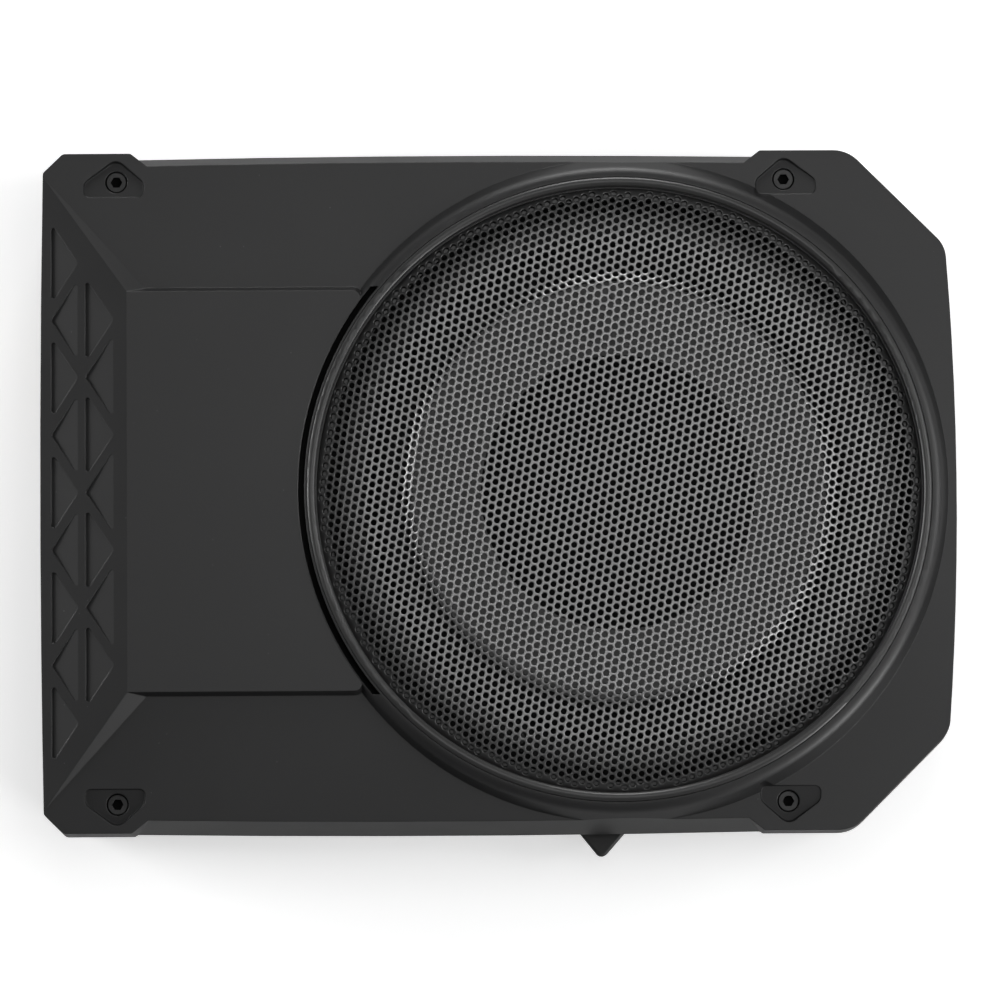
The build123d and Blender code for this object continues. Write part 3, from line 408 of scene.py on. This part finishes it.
def capacitor_sleeve():
    """Shrink sleeve on a can, with the bare aluminium top showing."""
    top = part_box("capacitors")[1].z
    finish = Finish("capacitor_sleeve", (0.008, 0.012, 0.035), 0.28).clouds(9 * MM, 0.15)
    finish.zone("Z", top - CAN_TOP_DEPTH, FAR, 0.55, 0.35)
    return finish.grain(1.2 * MM, 0.02 * MM).done()


def phono_inserts():
    """Red and white insulators, told apart by their place."""
    low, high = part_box("rca_inserts")
    finish = Finish("insert_plastic", (0.45, 0.015, 0.015), 0.35).clouds(5 * MM, 0.08)
    finish.zone("Y", (low.y + high.y) / 2, FAR, (0.62, 0.6, 0.56))
    return finish.grain(0.3 * MM, 0.006 * MM).done()


def wire_colours():
    """One red and one black insulated wire."""
    finish = Finish("wire_red", (0.015, 0.015, 0.016), 0.38).clouds(5 * MM, 0.1)
    finish.zone("Y", 0.0, FAR, (0.4, 0.02, 0.02))
    return finish.grain(0.5 * MM, 0.01 * MM).done()


MATERIALS = {
    "case_plastic": textured_case(),
    "trim_plastic": trim_plastic(),
    "tray_metal": powder_coat("tray_metal", 0.014, 0.5, 0.7 * MM, 0.03 * MM, 0.5 * MM),
    "grille_steel": grille_coat("grille_steel", 0.27, 0.34, 0.6),
    # painted shade: a dark, non-metallic copy of the grille coat for the walls inside the holes
    "hole_wall_shade": grille_coat("hole_wall_shade", 0.02, 0.5, 0.0),
    "plate_metal": powder_coat("plate_metal", 0.017, 0.45, 0.5 * MM, 0.014 * MM, 0.25 * MM),
    "basket_metal": powder_coat("basket_metal", 0.008, 0.6, 0.8 * MM, 0.02 * MM),
    "black_screw": black_screw_steel(),
    "cap_screw": cap_screw_steel(),
    "zinc_steel": brushed_metal("zinc_steel", (0.5, 0.51, 0.53), 0.32),
    "nickel": brushed_metal("nickel", (0.66, 0.63, 0.57), 0.2),
    "brass": brushed_metal("brass", (0.72, 0.5, 0.2), 0.28, "y"),
    "plated_plate": brushed_metal("plated_plate", (0.42, 0.43, 0.44), 0.36, "y"),
    "former_film": brushed_metal("former_film", (0.6, 0.6, 0.61), 0.3, "z"),
    "rubber": plain("rubber", 0.014, 0.62, 0.35 * MM, 0.015 * MM, tone=0.2),
    "surround_rubber": plain("surround_rubber", 0.007, 0.75, 0.35 * MM, 0.015 * MM, tone=0.2),
    "foam": cellular("foam", 0.016, 0.85, 10 * MM, 0.5 * MM, 0.12 * MM),
    "cone_paper": cone_paper(),
    "cap_paper": cap_film(),
    "spider_cloth": spider_cloth(),
    "coil_copper": brushed_metal("coil_copper", (0.62, 0.22, 0.09), 0.3),
    "tinsel": brushed_metal("tinsel", (0.62, 0.3, 0.16), 0.35),
    "ferrite": cellular("ferrite", 0.03, 0.55, 14 * MM, 0.9 * MM, 0.03 * MM),
    "board_green": board_mask(),
    "black_plastic": plain("black_plastic", 0.016, 0.42, 0.35 * MM, 0.01 * MM),
    "socket_plastic": plain("socket_plastic", (0.42, 0.41, 0.37), 0.42, 0.4 * MM, 0.01 * MM),
    "knob_plastic": knob_plastic(),
    "capacitor_sleeve": capacitor_sleeve(),
    "pad_grey": plain("pad_grey", (0.2, 0.21, 0.24), 0.7, 0.5 * MM, 0.02 * MM),
    "fuse_plastic": plain("fuse_plastic", (0.62, 0.26, 0.02), 0.2, 0.8 * MM, 0.008 * MM,
                          Transmission_Weight=0.35, IOR=1.5),
    "insert_plastic": phono_inserts(),
    "led_lens": plain("led_lens", (0.1, 0.25, 0.7), 0.15, 0.6 * MM, 0.004 * MM,
                      Transmission_Weight=0.6, IOR=1.45),
    "wire_red": wire_colours(),
    "print_white": plain("print_white", (0.5, 0.5, 0.49), 0.55, 0.3 * MM, 0.004 * MM),
}

FINISH_OF = {
    "case_plastic": ["top_cover"],
    "tray_metal": ["base_tray"],
    "foam": ["cover_seal", "woofer_gasket"],
    "cap_screw": ["cover_screws"],
    "black_screw": ["woofer_screws", "control_plate_screws"],
    "rubber": ["rubber_feet", "side_bumper"],
    "zinc_steel": ["foot_screws", "board_screws", "clamp_screws", "clamp_bars", "terminal_screws"],
    "trim_plastic": ["grille_ring"],
    "basket_metal": ["woofer_basket"],
    "cone_paper": ["cone"],
    "cap_paper": ["dust_cap"],
    "former_film": ["voice_coil_former"],
    "coil_copper": ["voice_coil", "toroid_winding"],
    "plated_plate": ["top_plate", "back_plate"],
    "ferrite": ["magnet_ring", "toroid_core", "filter_inductors"],
    "black_plastic": ["terminal_strip", "power_transistors", "power_terminal", "fuse_holder",
                      "rca_housing", "remote_port", "switch_cases", "pot_cases"],
    "board_green": ["amplifier_board"],
    "capacitor_sleeve": ["capacitors"],
    "pad_grey": ["thermal_pads"],
    "plate_metal": ["control_plate"],
    "brass": ["terminal_plates"],
    "fuse_plastic": ["main_fuse"],
    "socket_plastic": ["line_input_socket", "phase_slider", "mode_slider"],
    "nickel": ["input_pins", "rca_shells", "gain_shaft", "lowpass_shaft", "bass_boost_shaft"],
    "insert_plastic": ["rca_inserts"],
    "led_lens": ["power_led"],
    "knob_plastic": ["gain_knob", "lowpass_knob", "bass_boost_knob"],
    "wire_red": ["speaker_wires"],
}


def dress(piece, finish):
    """Gives a piece one material."""
    piece.data.materials.clear()
    piece.data.materials.append(MATERIALS[finish])


# ================================================================ mesh helpers
def mesh_piece(name, points, faces, finish, sharp=50):
    """A shaded mesh object from its points and faces."""
    mesh = bpy.data.meshes.new(name)
    mesh.from_pydata(points, [], faces)
    mesh.validate()
    mesh.shade_smooth()
    mesh.set_sharp_from_angle(angle=math.radians(sharp))
    piece = bpy.data.objects.new(name, mesh)
    bpy.context.scene.collection.objects.link(piece)
    dress(piece, finish)
    return piece


def lathe(name, profile, finish, steps):
    """A ring turned about the woofer axis from a closed (radius, height) outline."""
    points = []
    for i in range(steps):
        angle = 2 * math.pi * i / steps
        for r, z in profile:
            points.append((RING_X + r * math.cos(angle), r * math.sin(angle), z))
    count = len(profile)
    faces = []
    for i in range(steps):
        here, there = i * count, (i + 1) % steps * count
        for j in range(count):
            k = (j + 1) % count
            faces.append((here + j, there + j, there + k, here + k))
    return mesh_piece(name, points, faces, finish)


def thickened(middle, thickness):
    """A closed outline around a line of (radius, height) points."""
    upper = [(r, z + thickness / 2) for r, z in middle]
    lower = [(r, z - thickness / 2) for r, z in reversed(middle)]
    return lower + upper


def radial_blend(piece, fixed_r, moving_r):
    """The piece follows the housing at one radius and the cone at the other."""
    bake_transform(piece, "housing", "cone_assembly", start=(RING_X + fixed_r, 0, 0),
             end=(RING_X + moving_r, 0, 0))
    weights = piece.data.attributes["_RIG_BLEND"].data
    for vertex, weight in zip(piece.data.vertices, weights):
        r = math.hypot(vertex.co.x - RING_X, vertex.co.y)
        t = min(max((r - fixed_r) / (moving_r - fixed_r), 0.0), 1.0)
        weight.value = t * t * (3 - 2 * t)


# ================================================================ grille
PITCH = 3.3 * MM           # spacing of the perforation
ROW_GAP = PITCH * math.sqrt(3) / 2
ROW_ANGLE = math.radians(21.0)
HOLE_R = 1.25 * MM
HOLE_LOW_R = 1.1 * MM      # the punch leaves a slight taper
HOLE_SIDES = 12
SHEET = 1.0 * MM           # thickness
EDGE_ROUND = 0.16 * MM     # rounding that the coating leaves on each hole
BEND_REACH = 1.1 * MM      # the sheet's bends are rounded over this length to each side
RIM_MARGIN = 0.9 * MM      # plain sheet outside the last holes
RIM_BAND = 0.3 * MM        # ring of even faces along the rim
RIM_SIDES = 720
SAME = 1e-9                # points closer than this are one point
KEY_SCALE = 1e6            # shared vertices are matched to the micrometre
LENGTH_KEY_SCALE = 1e7     # outline lengths to a tenth of that
NO_AREA = 1e-14            # square metres: a triangle below this is dropped


def grille_outline():
    """(radius, height) corners of the pressed sheet's upper face, centre to rim."""
    top = GRILLE_TOP
    return [(0.0, top), (80.8 * MM, top), (86.0 * MM, top - 3.0 * MM),
            (100.0 * MM, top - 3.4 * MM), (108.6 * MM, top - 4.4 * MM),
            (114.8 * MM, top - 6.2 * MM), (GRILLE_R - 0.9 * MM, top - 7.8 * MM),
            (GRILLE_R, top - 8.8 * MM), (GRILLE_R, GRILLE_LOW + 0.2 * MM)]


class Sheet:
    """Maps the flat perforated sheet to its pressed shape, keeping lengths along each radius."""

    def __init__(self):
        self.corners = grille_outline()
        self.lengths = [0.0]
        for (r0, z0), (r1, z1) in zip(self.corners, self.corners[1:]):
            self.lengths.append(self.lengths[-1] + math.hypot(r1 - r0, z1 - z0))
        self.reach = self.lengths[-1]
        self.cache = {}

    def on_corners(self, s):
        """The unsmoothed outline at a length from the centre."""
        s = min(max(s, 0.0), self.reach)
        i = 0
        while i < len(self.lengths) - 2 and s > self.lengths[i + 1]:
            i += 1
        t = (s - self.lengths[i]) / (self.lengths[i + 1] - self.lengths[i])
        (r0, z0), (r1, z1) = self.corners[i], self.corners[i + 1]
        return r0 + (r1 - r0) * t, z0 + (z1 - z0) * t

    def at(self, s):
        """Radius, height and upward normal of the rounded outline at a length."""
        key = round(s * LENGTH_KEY_SCALE)
        if key not in self.cache:
            window = min(BEND_REACH, self.reach - s)
            samples = [self.on_corners(s + window * k / 4) for k in range(-4, 5)]
            r = sum(p[0] for p in samples) / len(samples) if s > window else s
            z = sum(p[1] for p in samples) / len(samples)
            dr = samples[-1][0] - samples[0][0]
            dz = samples[-1][1] - samples[0][1]
            size = math.hypot(dr, dz)
            normal = (-dz / size, dr / size) if size > SAME else (1.0, 0.0)
            self.cache[key] = (r, z, normal)
        return self.cache[key]

    def place(self, u, v, depth):
        """The point under the flat sheet's (u, v), at a depth below the upper face."""
        s = math.hypot(u, v)
        r, z, (nr, nz) = self.at(s)
        r -= nr * depth
        z -= nz * depth
        if s < SAME:
            return (RING_X, 0.0, z)
        return (RING_X + r * u / s, r * v / s, z)


def cell_centre(i, j):
    """Centre of cell i in row j of the perforation, on the flat sheet."""
    x, y = (i + 0.5 * (j % 2)) * PITCH, j * ROW_GAP
    cos_row, sin_row = math.cos(ROW_ANGLE), math.sin(ROW_ANGLE)
    return x * cos_row - y * sin_row, x * sin_row + y * cos_row


def nearest_cell(u, v):
    """The cell of the endless pattern whose centre is nearest to a point."""
    x = u * math.cos(ROW_ANGLE) + v * math.sin(ROW_ANGLE)
    y = v * math.cos(ROW_ANGLE) - u * math.sin(ROW_ANGLE)
    best = None
    for j in range(math.floor(y / ROW_GAP), math.floor(y / ROW_GAP) + 2):
        i = round(x / PITCH - 0.5 * (j % 2))
        cu, cv = cell_centre(i, j)
        gap = math.hypot(cu - u, cv - v)
        if best is None or gap < best[0]:
            best = (gap, (i, j))
    return best[1]


class GrilleMesh:
    """Points and faces of the perforated sheet."""

    def __init__(self):
        self.sheet = Sheet()
        self.points = []
        self.faces = []
        self.walls = []        # indices of the faces inside the holes
        self.shared = {}
        self.edge_use = {}     # the cells' outer edges, each with its uses
        self.cells = set()
        limit = self.sheet.reach - HOLE_R - RIM_MARGIN
        span = int(self.sheet.reach / ROW_GAP) + 2
        for j in range(-span, span + 1):
            for i in range(-span, span + 1):
                if math.hypot(*cell_centre(i, j)) < limit:
                    self.cells.add((i, j))

    def vertex(self, u, v, depth):
        """A vertex of the upper or lower face that neighbouring cells share."""
        key = (round(u * KEY_SCALE), round(v * KEY_SCALE), depth)
        if key not in self.shared:
            self.shared[key] = self.own(u, v, depth)
        return self.shared[key]

    def own(self, u, v, depth):
        """A new vertex."""
        self.points.append(self.sheet.place(u, v, depth))
        return len(self.points) - 1

    def hole(self, cu, cv):
        """One cell: the sheet around a hole, above and below, and the hole's wall."""
        rim_top, rim_low, lip, wall, base, flat = [], [], [], [], [], []
        for k in range(HOLE_SIDES):
            angle = ROW_ANGLE + 2 * math.pi * k / HOLE_SIDES
            c, s = math.cos(angle), math.sin(angle)
            far = PITCH / 2 if k % 2 == 0 else PITCH / math.sqrt(3)
            u, v = cu + far * c, cv + far * s
            rim_top.append(self.vertex(u, v, 0.0))
            rim_low.append(self.vertex(u, v, SHEET))
            flat.append((round(u * KEY_SCALE), round(v * KEY_SCALE), u, v))
            wide = HOLE_R + EDGE_ROUND
            lip.append(self.own(cu + wide * c, cv + wide * s, 0.0))
            wall.append(self.own(cu + HOLE_R * c, cv + HOLE_R * s, EDGE_ROUND))
            base.append(self.own(cu + HOLE_LOW_R * c, cv + HOLE_LOW_R * s, SHEET))
        for k in range(HOLE_SIDES):
            m = (k + 1) % HOLE_SIDES
            self.faces.append((rim_top[k], rim_top[m], lip[m], lip[k]))
            self.faces.append((lip[k], lip[m], wall[m], wall[k]))
            self.walls.append(len(self.faces))
            self.faces.append((wall[k], wall[m], base[m], base[k]))
            self.faces.append((base[k], base[m], rim_low[m], rim_low[k]))
            edge = frozenset((flat[k][:2], flat[m][:2]))
            self.edge_use.setdefault(edge, []).append((flat[k], flat[m]))

    def rim_triangles(self):
        """Corners of the flat triangles between the last holes and the round rim."""
        outline = [uses[0] for uses in self.edge_use.values() if len(uses) == 1]
        spots, order = {}, []
        for a, b in outline:
            for key_u, key_v, u, v in (a, b):
                if (key_u, key_v) not in spots:
                    spots[(key_u, key_v)] = len(order)
                    order.append((u, v))
        edges = [(spots[a[:2]], spots[b[:2]]) for a, b in outline]
        for radius in (self.sheet.reach - RIM_BAND, self.sheet.reach):
            start = len(order)
            order += rim_points(radius)
            edges += [(start + k, start + (k + 1) % RIM_SIDES) for k in range(RIM_SIDES)]
        found, _, triangles = delaunay_2d_cdt([Vector(p) for p in order], edges, [], 0, SAME)[:3]
        return [[found[k] for k in triangle] for triangle in triangles]

    def close_rim(self):
        """Closes the sheet between the last holes and its rim."""
        for corners in self.rim_triangles():
            middle = sum((Vector(p) for p in corners), Vector((0, 0))) / 3
            if nearest_cell(*middle) in self.cells or middle.length > self.sheet.reach:
                continue
            area = (corners[1] - corners[0]).cross(corners[2] - corners[0])
            if abs(area) < NO_AREA:
                continue
            turn = corners if area > 0 else corners[::-1]
            upper = [self.vertex(p.x, p.y, 0.0) for p in turn]
            lower = [self.vertex(p.x, p.y, SHEET) for p in turn]
            if len(set(upper)) == 3:
                self.faces.append(tuple(upper))
                self.faces.append(tuple(reversed(lower)))
        rim = rim_points(self.sheet.reach)
        for k in range(RIM_SIDES):
            a, b = rim[k], rim[(k + 1) % RIM_SIDES]
            self.faces.append((self.vertex(*a, 0.0), self.vertex(*a, SHEET),
                               self.vertex(*b, SHEET), self.vertex(*b, 0.0)))


def rim_points(radius):
    """Points of a fine circle on the flat sheet."""
    points = []
    for k in range(RIM_SIDES):
        angle = 2 * math.pi * k / RIM_SIDES
        points.append((radius * math.cos(angle), radius * math.sin(angle)))
    return points


def perforated_grille():
    """The grille as a closed sheet with every hole in it."""
    mesh = GrilleMesh()
    for cell in sorted(mesh.cells):
        mesh.hole(*cell_centre(*cell))
    mesh.close_rim()
    piece = mesh_piece("grille_perforated", mesh.points, mesh.faces, "grille_steel", sharp=55)
    # painted shade: the walls inside the holes get the dark copy of the coat
    piece.data.materials.append(MATERIALS["hole_wall_shade"])
    for index in mesh.walls:
        piece.data.polygons[index].material_index = 1
    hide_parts("grille_mesh")
    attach(piece, "housing")


# ================================================================ soft parts of the woofer
SURROUND_WALL = 0.8 * MM
SURROUND_IN_R = 83.5 * MM          # its lip on the cone starts here
SURROUND_ROLL_R = 92.5 * MM        # crest of the half roll
CONE_LIP, BASKET_LIP = 1.6 * MM, 1.8 * MM
ROLL_STEPS = 24
SURROUND_FIXED_R = 98.0 * MM       # still from here outwards
SURROUND_MOVING_R = 87.0 * MM      # goes with the cone from here inwards

CLOTH = 0.5 * MM                   # thickness of the spider
SPIDER_IN_R = 25.2 * MM
WAVES_IN_R, WAVES_OUT_R = 27.0 * MM, 57.5 * MM
WAVES, WAVE_HEIGHT, WAVE_STEPS = 5, 0.9 * MM, 90
SPIDER_FLAT = 2.5 * MM             # from the last wave to the start of the glued flange
SPIDER_FIXED_R = 58.0 * MM
SPIDER_MOVING_R = 27.0 * MM

LEAD_R = 0.6 * MM
LEAD_Y = 6.0 * MM                  # each lead is this far from the middle
LEAD_CLEAR = 0.7 * MM              # starts this far off the tag strip's face
LEAD_START_Z = 40.0 * MM
LEAD_END_X, LEAD_END_Z = -11.7 * MM, 45.0 * MM
LEAD_SAG = 4.5 * MM
LEAD_STEPS = 48
STRANDS, STRAND_TURNS, BRAID_SIDES = 7, 9, 42
STRAND_DEPTH = 0.18                # depth of the hollow between strands, share of the radius


def surround_piece():
    """Rubber half roll between the cone and the basket."""
    low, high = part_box("surround")
    outer_lip = high.x - RING_X
    half_wall = SURROUND_WALL / 2
    rise = high.z - low.z
    lip_z = low.z + half_wall
    middle = [(SURROUND_IN_R, lip_z), (SURROUND_IN_R + CONE_LIP, lip_z)]
    for k in range(ROLL_STEPS + 1):
        angle = math.pi - math.pi * k / ROLL_STEPS
        middle.append((SURROUND_ROLL_R + (rise - half_wall) * math.cos(angle),
                       lip_z + (rise - SURROUND_WALL) * math.sin(angle)))
    middle += [(outer_lip - BASKET_LIP, lip_z), (outer_lip, lip_z)]
    upper, lower = [], []
    for k, (r, z) in enumerate(middle):
        before, after = middle[max(k - 1, 0)], middle[min(k + 1, len(middle) - 1)]
        dr, dz = after[0] - before[0], after[1] - before[1]
        size = math.hypot(dr, dz)
        upper.append((r - dz / size * half_wall, z + dr / size * half_wall))
        lower.append((r + dz / size * half_wall, z - dr / size * half_wall))
    piece = lathe("surround_roll", lower + upper[::-1], "surround_rubber", steps=300)
    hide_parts("surround")
    radial_blend(piece, SURROUND_FIXED_R, SURROUND_MOVING_R)


def spider_piece():
    """Corrugated cloth spider that centres the coil."""
    low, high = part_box("spider")
    middle_z = (low.z + high.z) / 2
    middle = [(SPIDER_IN_R, middle_z)]
    for k in range(WAVE_STEPS + 1):
        r = WAVES_IN_R + (WAVES_OUT_R - WAVES_IN_R) * k / WAVE_STEPS
        wave = WAVE_HEIGHT * math.sin(2 * math.pi * WAVES * k / WAVE_STEPS)
        middle.append((r, middle_z + wave))
    middle += [(WAVES_OUT_R + SPIDER_FLAT, middle_z), (high.x - RING_X, middle_z)]
    piece = lathe("spider_cloth", thickened(middle, CLOTH), "spider_cloth", steps=180)
    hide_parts("spider")
    radial_blend(piece, SPIDER_FIXED_R, SPIDER_MOVING_R)


def braid(name, path, radius):
    """A twisted lead along a path, its surface lobed by the strands."""
    points, faces = [], []
    for k, spot in enumerate(path):
        before, after = path[max(k - 1, 0)], path[min(k + 1, len(path) - 1)]
        along = (after - before).normalized()
        side = along.cross(Vector((0, 1, 0))).normalized()
        up = side.cross(along)
        twist = 2 * math.pi * STRAND_TURNS * k / (len(path) - 1) / STRANDS
        for m in range(BRAID_SIDES):
            angle = 2 * math.pi * m / BRAID_SIDES
            lobe = 1 - abs(math.cos(STRANDS * (angle - twist) / 2))
            reach = radius * (1 - STRAND_DEPTH * lobe)
            points.append(spot + side * reach * math.cos(angle) + up * reach * math.sin(angle))
    last = (len(path) - 1) * BRAID_SIDES
    for here in range(0, last, BRAID_SIDES):
        there = here + BRAID_SIDES
        for m in range(BRAID_SIDES):
            n = (m + 1) % BRAID_SIDES
            faces.append((here + m, here + n, there + n, there + m))
    faces.append(tuple(reversed(range(BRAID_SIDES))))
    faces.append(tuple(last + m for m in range(BRAID_SIDES)))
    return mesh_piece(name, points, faces, "tinsel", sharp=60)


def tinsel_pieces():
    """Two flexible leads from the tag strip to the cone."""
    strip_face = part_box("terminal_strip")[1].x
    for side, label in ((1, "left"), (-1, "right")):
        start = Vector((strip_face + LEAD_CLEAR, side * LEAD_Y, LEAD_START_Z))
        end = Vector((LEAD_END_X, side * LEAD_Y, LEAD_END_Z))
        path = []
        for k in range(LEAD_STEPS + 1):
            t = k / LEAD_STEPS
            sag = LEAD_SAG * math.sin(math.pi * t)
            path.append(start.lerp(end, t) - Vector((0, 0, sag)))
        piece = braid("tinsel_lead_" + label, path, LEAD_R)
        if side == 1:
            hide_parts("tinsel_leads")
        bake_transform(piece, "housing", "cone_assembly", start=tuple(start), end=tuple(end))


# ================================================================ printing on the control plate
TICK_FIRST, TICK_STEP, TICKS = -150, 30, 11    # degrees from the top of the dial
TICK_IN_R = 6.35 * MM
LONG_TICK, LONG_TICK_WIDE = 1.5 * MM, 0.35 * MM
SHORT_TICK, SHORT_TICK_WIDE = 0.9 * MM, 0.22 * MM
CRAMPED_TICK = 0.3 * MM                        # between two neighbouring knobs
CRAMPED_Y = 0.9                                # sideways part of such a tick's direction
INK = 0.06 * MM                                # thickness of the print
INK_TAPER = 0.8                                # width of its outer face, as a share
BOX_FACES = ((0, 1, 2, 3), (7, 6, 5, 4), (0, 4, 5, 1), (1, 5, 6, 2), (2, 6, 7, 3), (3, 7, 4, 0))


def dial_ticks():
    """Printed scale marks around each knob, as a thin raised film."""
    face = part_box("control_plate")[0].x
    points, faces = [], []
    for name in ("gain_knob", "lowpass_knob", "bass_boost_knob"):
        low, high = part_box(name)
        y, z = (low.y + high.y) / 2, (low.z + high.z) / 2
        for k in range(TICKS):
            angle = math.radians(TICK_FIRST + TICK_STEP * k)
            outward = Vector((0, math.sin(angle), math.cos(angle)))
            across = Vector((0, math.cos(angle), -math.sin(angle)))
            length, width = SHORT_TICK, SHORT_TICK_WIDE
            if k % 5 == 0:
                length, width = LONG_TICK, LONG_TICK_WIDE
            if abs(outward.y) > CRAMPED_Y:
                length = CRAMPED_TICK
            start = len(points)
            for x, share in ((face, 1.0), (face - INK, INK_TAPER)):
                for reach, side in ((0, -1), (0, 1), (length, 1), (length, -1)):
                    points.append(Vector((x, y, z)) + outward * (TICK_IN_R + reach)
                                  + across * side * width / 2 * share)
            faces += [tuple(start + corner for corner in quad) for quad in BOX_FACES]
    piece = mesh_piece("dial_marks", points, faces, "print_white", sharp=20)
    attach(piece, "housing")


# ================================================================ studio
FLOOR_SIDE, FLOOR_TILES = 6.0, 24
FLOOR_GLOW = 0.47          # a light table's own brightness, seen only by the camera
SKY_LOW, SKY_HIGH = 0.12, 0.05
SKY_SEEN = 0.93            # grey level of the sky where the camera sees it
LIGHT_AIM = Vector((0.05, 0.0, 0.05))
LIGHTS = [
    # name, place, side of the square softbox, power
    ("overhead_up", (0.05, 0.305, 1.62), 0.6, 2.6),
    ("overhead_right", (0.437, 0.0, 1.602), 0.6, 2.0),
    ("right_box", (1.356, 0.114, 0.968), 0.7, 8.0),
    ("right_low_box", (0.987, -0.732, 1.121), 0.7, 2.6),
    ("upper_right_box", (0.85, 0.8, 1.181), 0.7, 0.8),
    ("left_box", (-1.176, 0.0, 1.078), 0.7, 1.0),
    ("rake_right", (1.249, -1.006, 0.383), 0.6, 11.0),
    ("rake_up", (0.05, 1.565, 0.383), 0.6, 12.7),
    ("rake_left", (-1.479, 0.27, 0.437), 0.6, 13.0),
]


def softbox(name, place, side, power):
    """A soft square light that faces the case."""
    data = bpy.data.lights.new(name, "AREA")
    data.shape = "SQUARE"
    data.size = side
    data.energy = power
    lamp = bpy.data.objects.new(name, data)
    lamp.location = place
    lamp.rotation_mode = "QUATERNION"
    lamp.rotation_quaternion = (LIGHT_AIM - Vector(place)).to_track_quat("-Z", "Y")
    bpy.context.scene.collection.objects.link(lamp)


def pale_floor():
    """A pale paper floor under the feet."""
    points, faces = [], []
    row = FLOOR_TILES + 1
    for i in range(row):
        for j in range(row):
            points.append(((i / FLOOR_TILES - 0.5) * FLOOR_SIDE,
                           (j / FLOOR_TILES - 0.5) * FLOOR_SIDE, FLOOR_Z))
    for i in range(FLOOR_TILES):
        for j in range(FLOOR_TILES):
            a = i * row + j
            faces.append((a, a + row, a + row + 1, a + 1))
    mesh = bpy.data.meshes.new("studio_floor")
    mesh.from_pydata(points, [], faces)
    floor = bpy.data.objects.new("studio_floor", mesh)
    bpy.context.scene.collection.objects.link(floor)
    finish = Finish("floor_paper", 0.86, 0.9, specular=0.1).clouds(0.3, 0.01)
    paper = finish.grain(0.8 * MM, 0.01 * MM).done(Emission_Color=(1, 1, 1, 1))
    seen = add(finish.tree, "LightPath").outputs["Is Camera Ray"]
    finish.tree.links.new(math_node(finish.tree, "MULTIPLY", seen, FLOOR_GLOW),
                          finish.shader.inputs["Emission Strength"])
    mesh.materials.append(paper)


def soft_sky():
    """A dim sky, a little brighter at the horizon, that the camera sees as pale grey."""
    world = bpy.data.worlds.new("studio_sky")
    bpy.context.scene.world = world
    world.use_nodes = True
    tree = world.node_tree
    back = tree.nodes["Background"]
    direction = add(tree, "TexCoord").outputs["Generated"]
    height = add(tree, "SeparateXYZ", {"Vector": direction}).outputs["Z"]
    glow = spread(tree, height, 0.0, 1.0, SKY_LOW, SKY_HIGH)
    camera_ray = add(tree, "LightPath").outputs["Is Camera Ray"]
    level = mix(tree, camera_ray, glow, colour(SKY_SEEN))
    tree.links.new(level, back.inputs["Color"])


CAMERA_DISTANCE = 2.6      # from the raised panel
FIELD = 393.4 * MM         # width of the frame at the height of the panel
SENSOR = 36.0              # width in millimetres, the unit of the lens length too
NEAR_CLIP, FAR_CLIP = 0.05, 20.0
CAMERA_TILT = math.radians(3.5)
CAMERA_ROLL = math.radians(-0.33)
CAMERA_AIM = Vector((0.6 * MM, -4.2 * MM, PANEL_Z))


def top_camera():
    """Camera above the case, slightly towards the -Y side."""
    data = bpy.data.cameras.new("top_camera")
    data.sensor_width = SENSOR
    data.lens = SENSOR * CAMERA_DISTANCE / FIELD
    data.clip_start, data.clip_end = NEAR_CLIP, FAR_CLIP
    camera = bpy.data.objects.new("top_camera", data)
    towards = Vector((0, -math.sin(CAMERA_TILT), math.cos(CAMERA_TILT)))
    camera.location = CAMERA_AIM + towards * CAMERA_DISTANCE
    camera.rotation_euler = (CAMERA_TILT, 0, CAMERA_ROLL)
    bpy.context.scene.collection.objects.link(camera)
    bpy.context.scene.camera = camera


# ================================================================ scene
for finish_name, node_names in FINISH_OF.items():
    for node_name in node_names:
        dress(NODES[node_name], finish_name)

perforated_grille()
surround_piece()
spider_piece()
tinsel_pieces()
dial_ticks()
pale_floor()
soft_sky()
for light in LIGHTS:
    softbox(*light)
top_camera()

bpy.context.scene.view_settings.view_transform = "Standard"
bpy.context.scene.view_settings.look = "None"
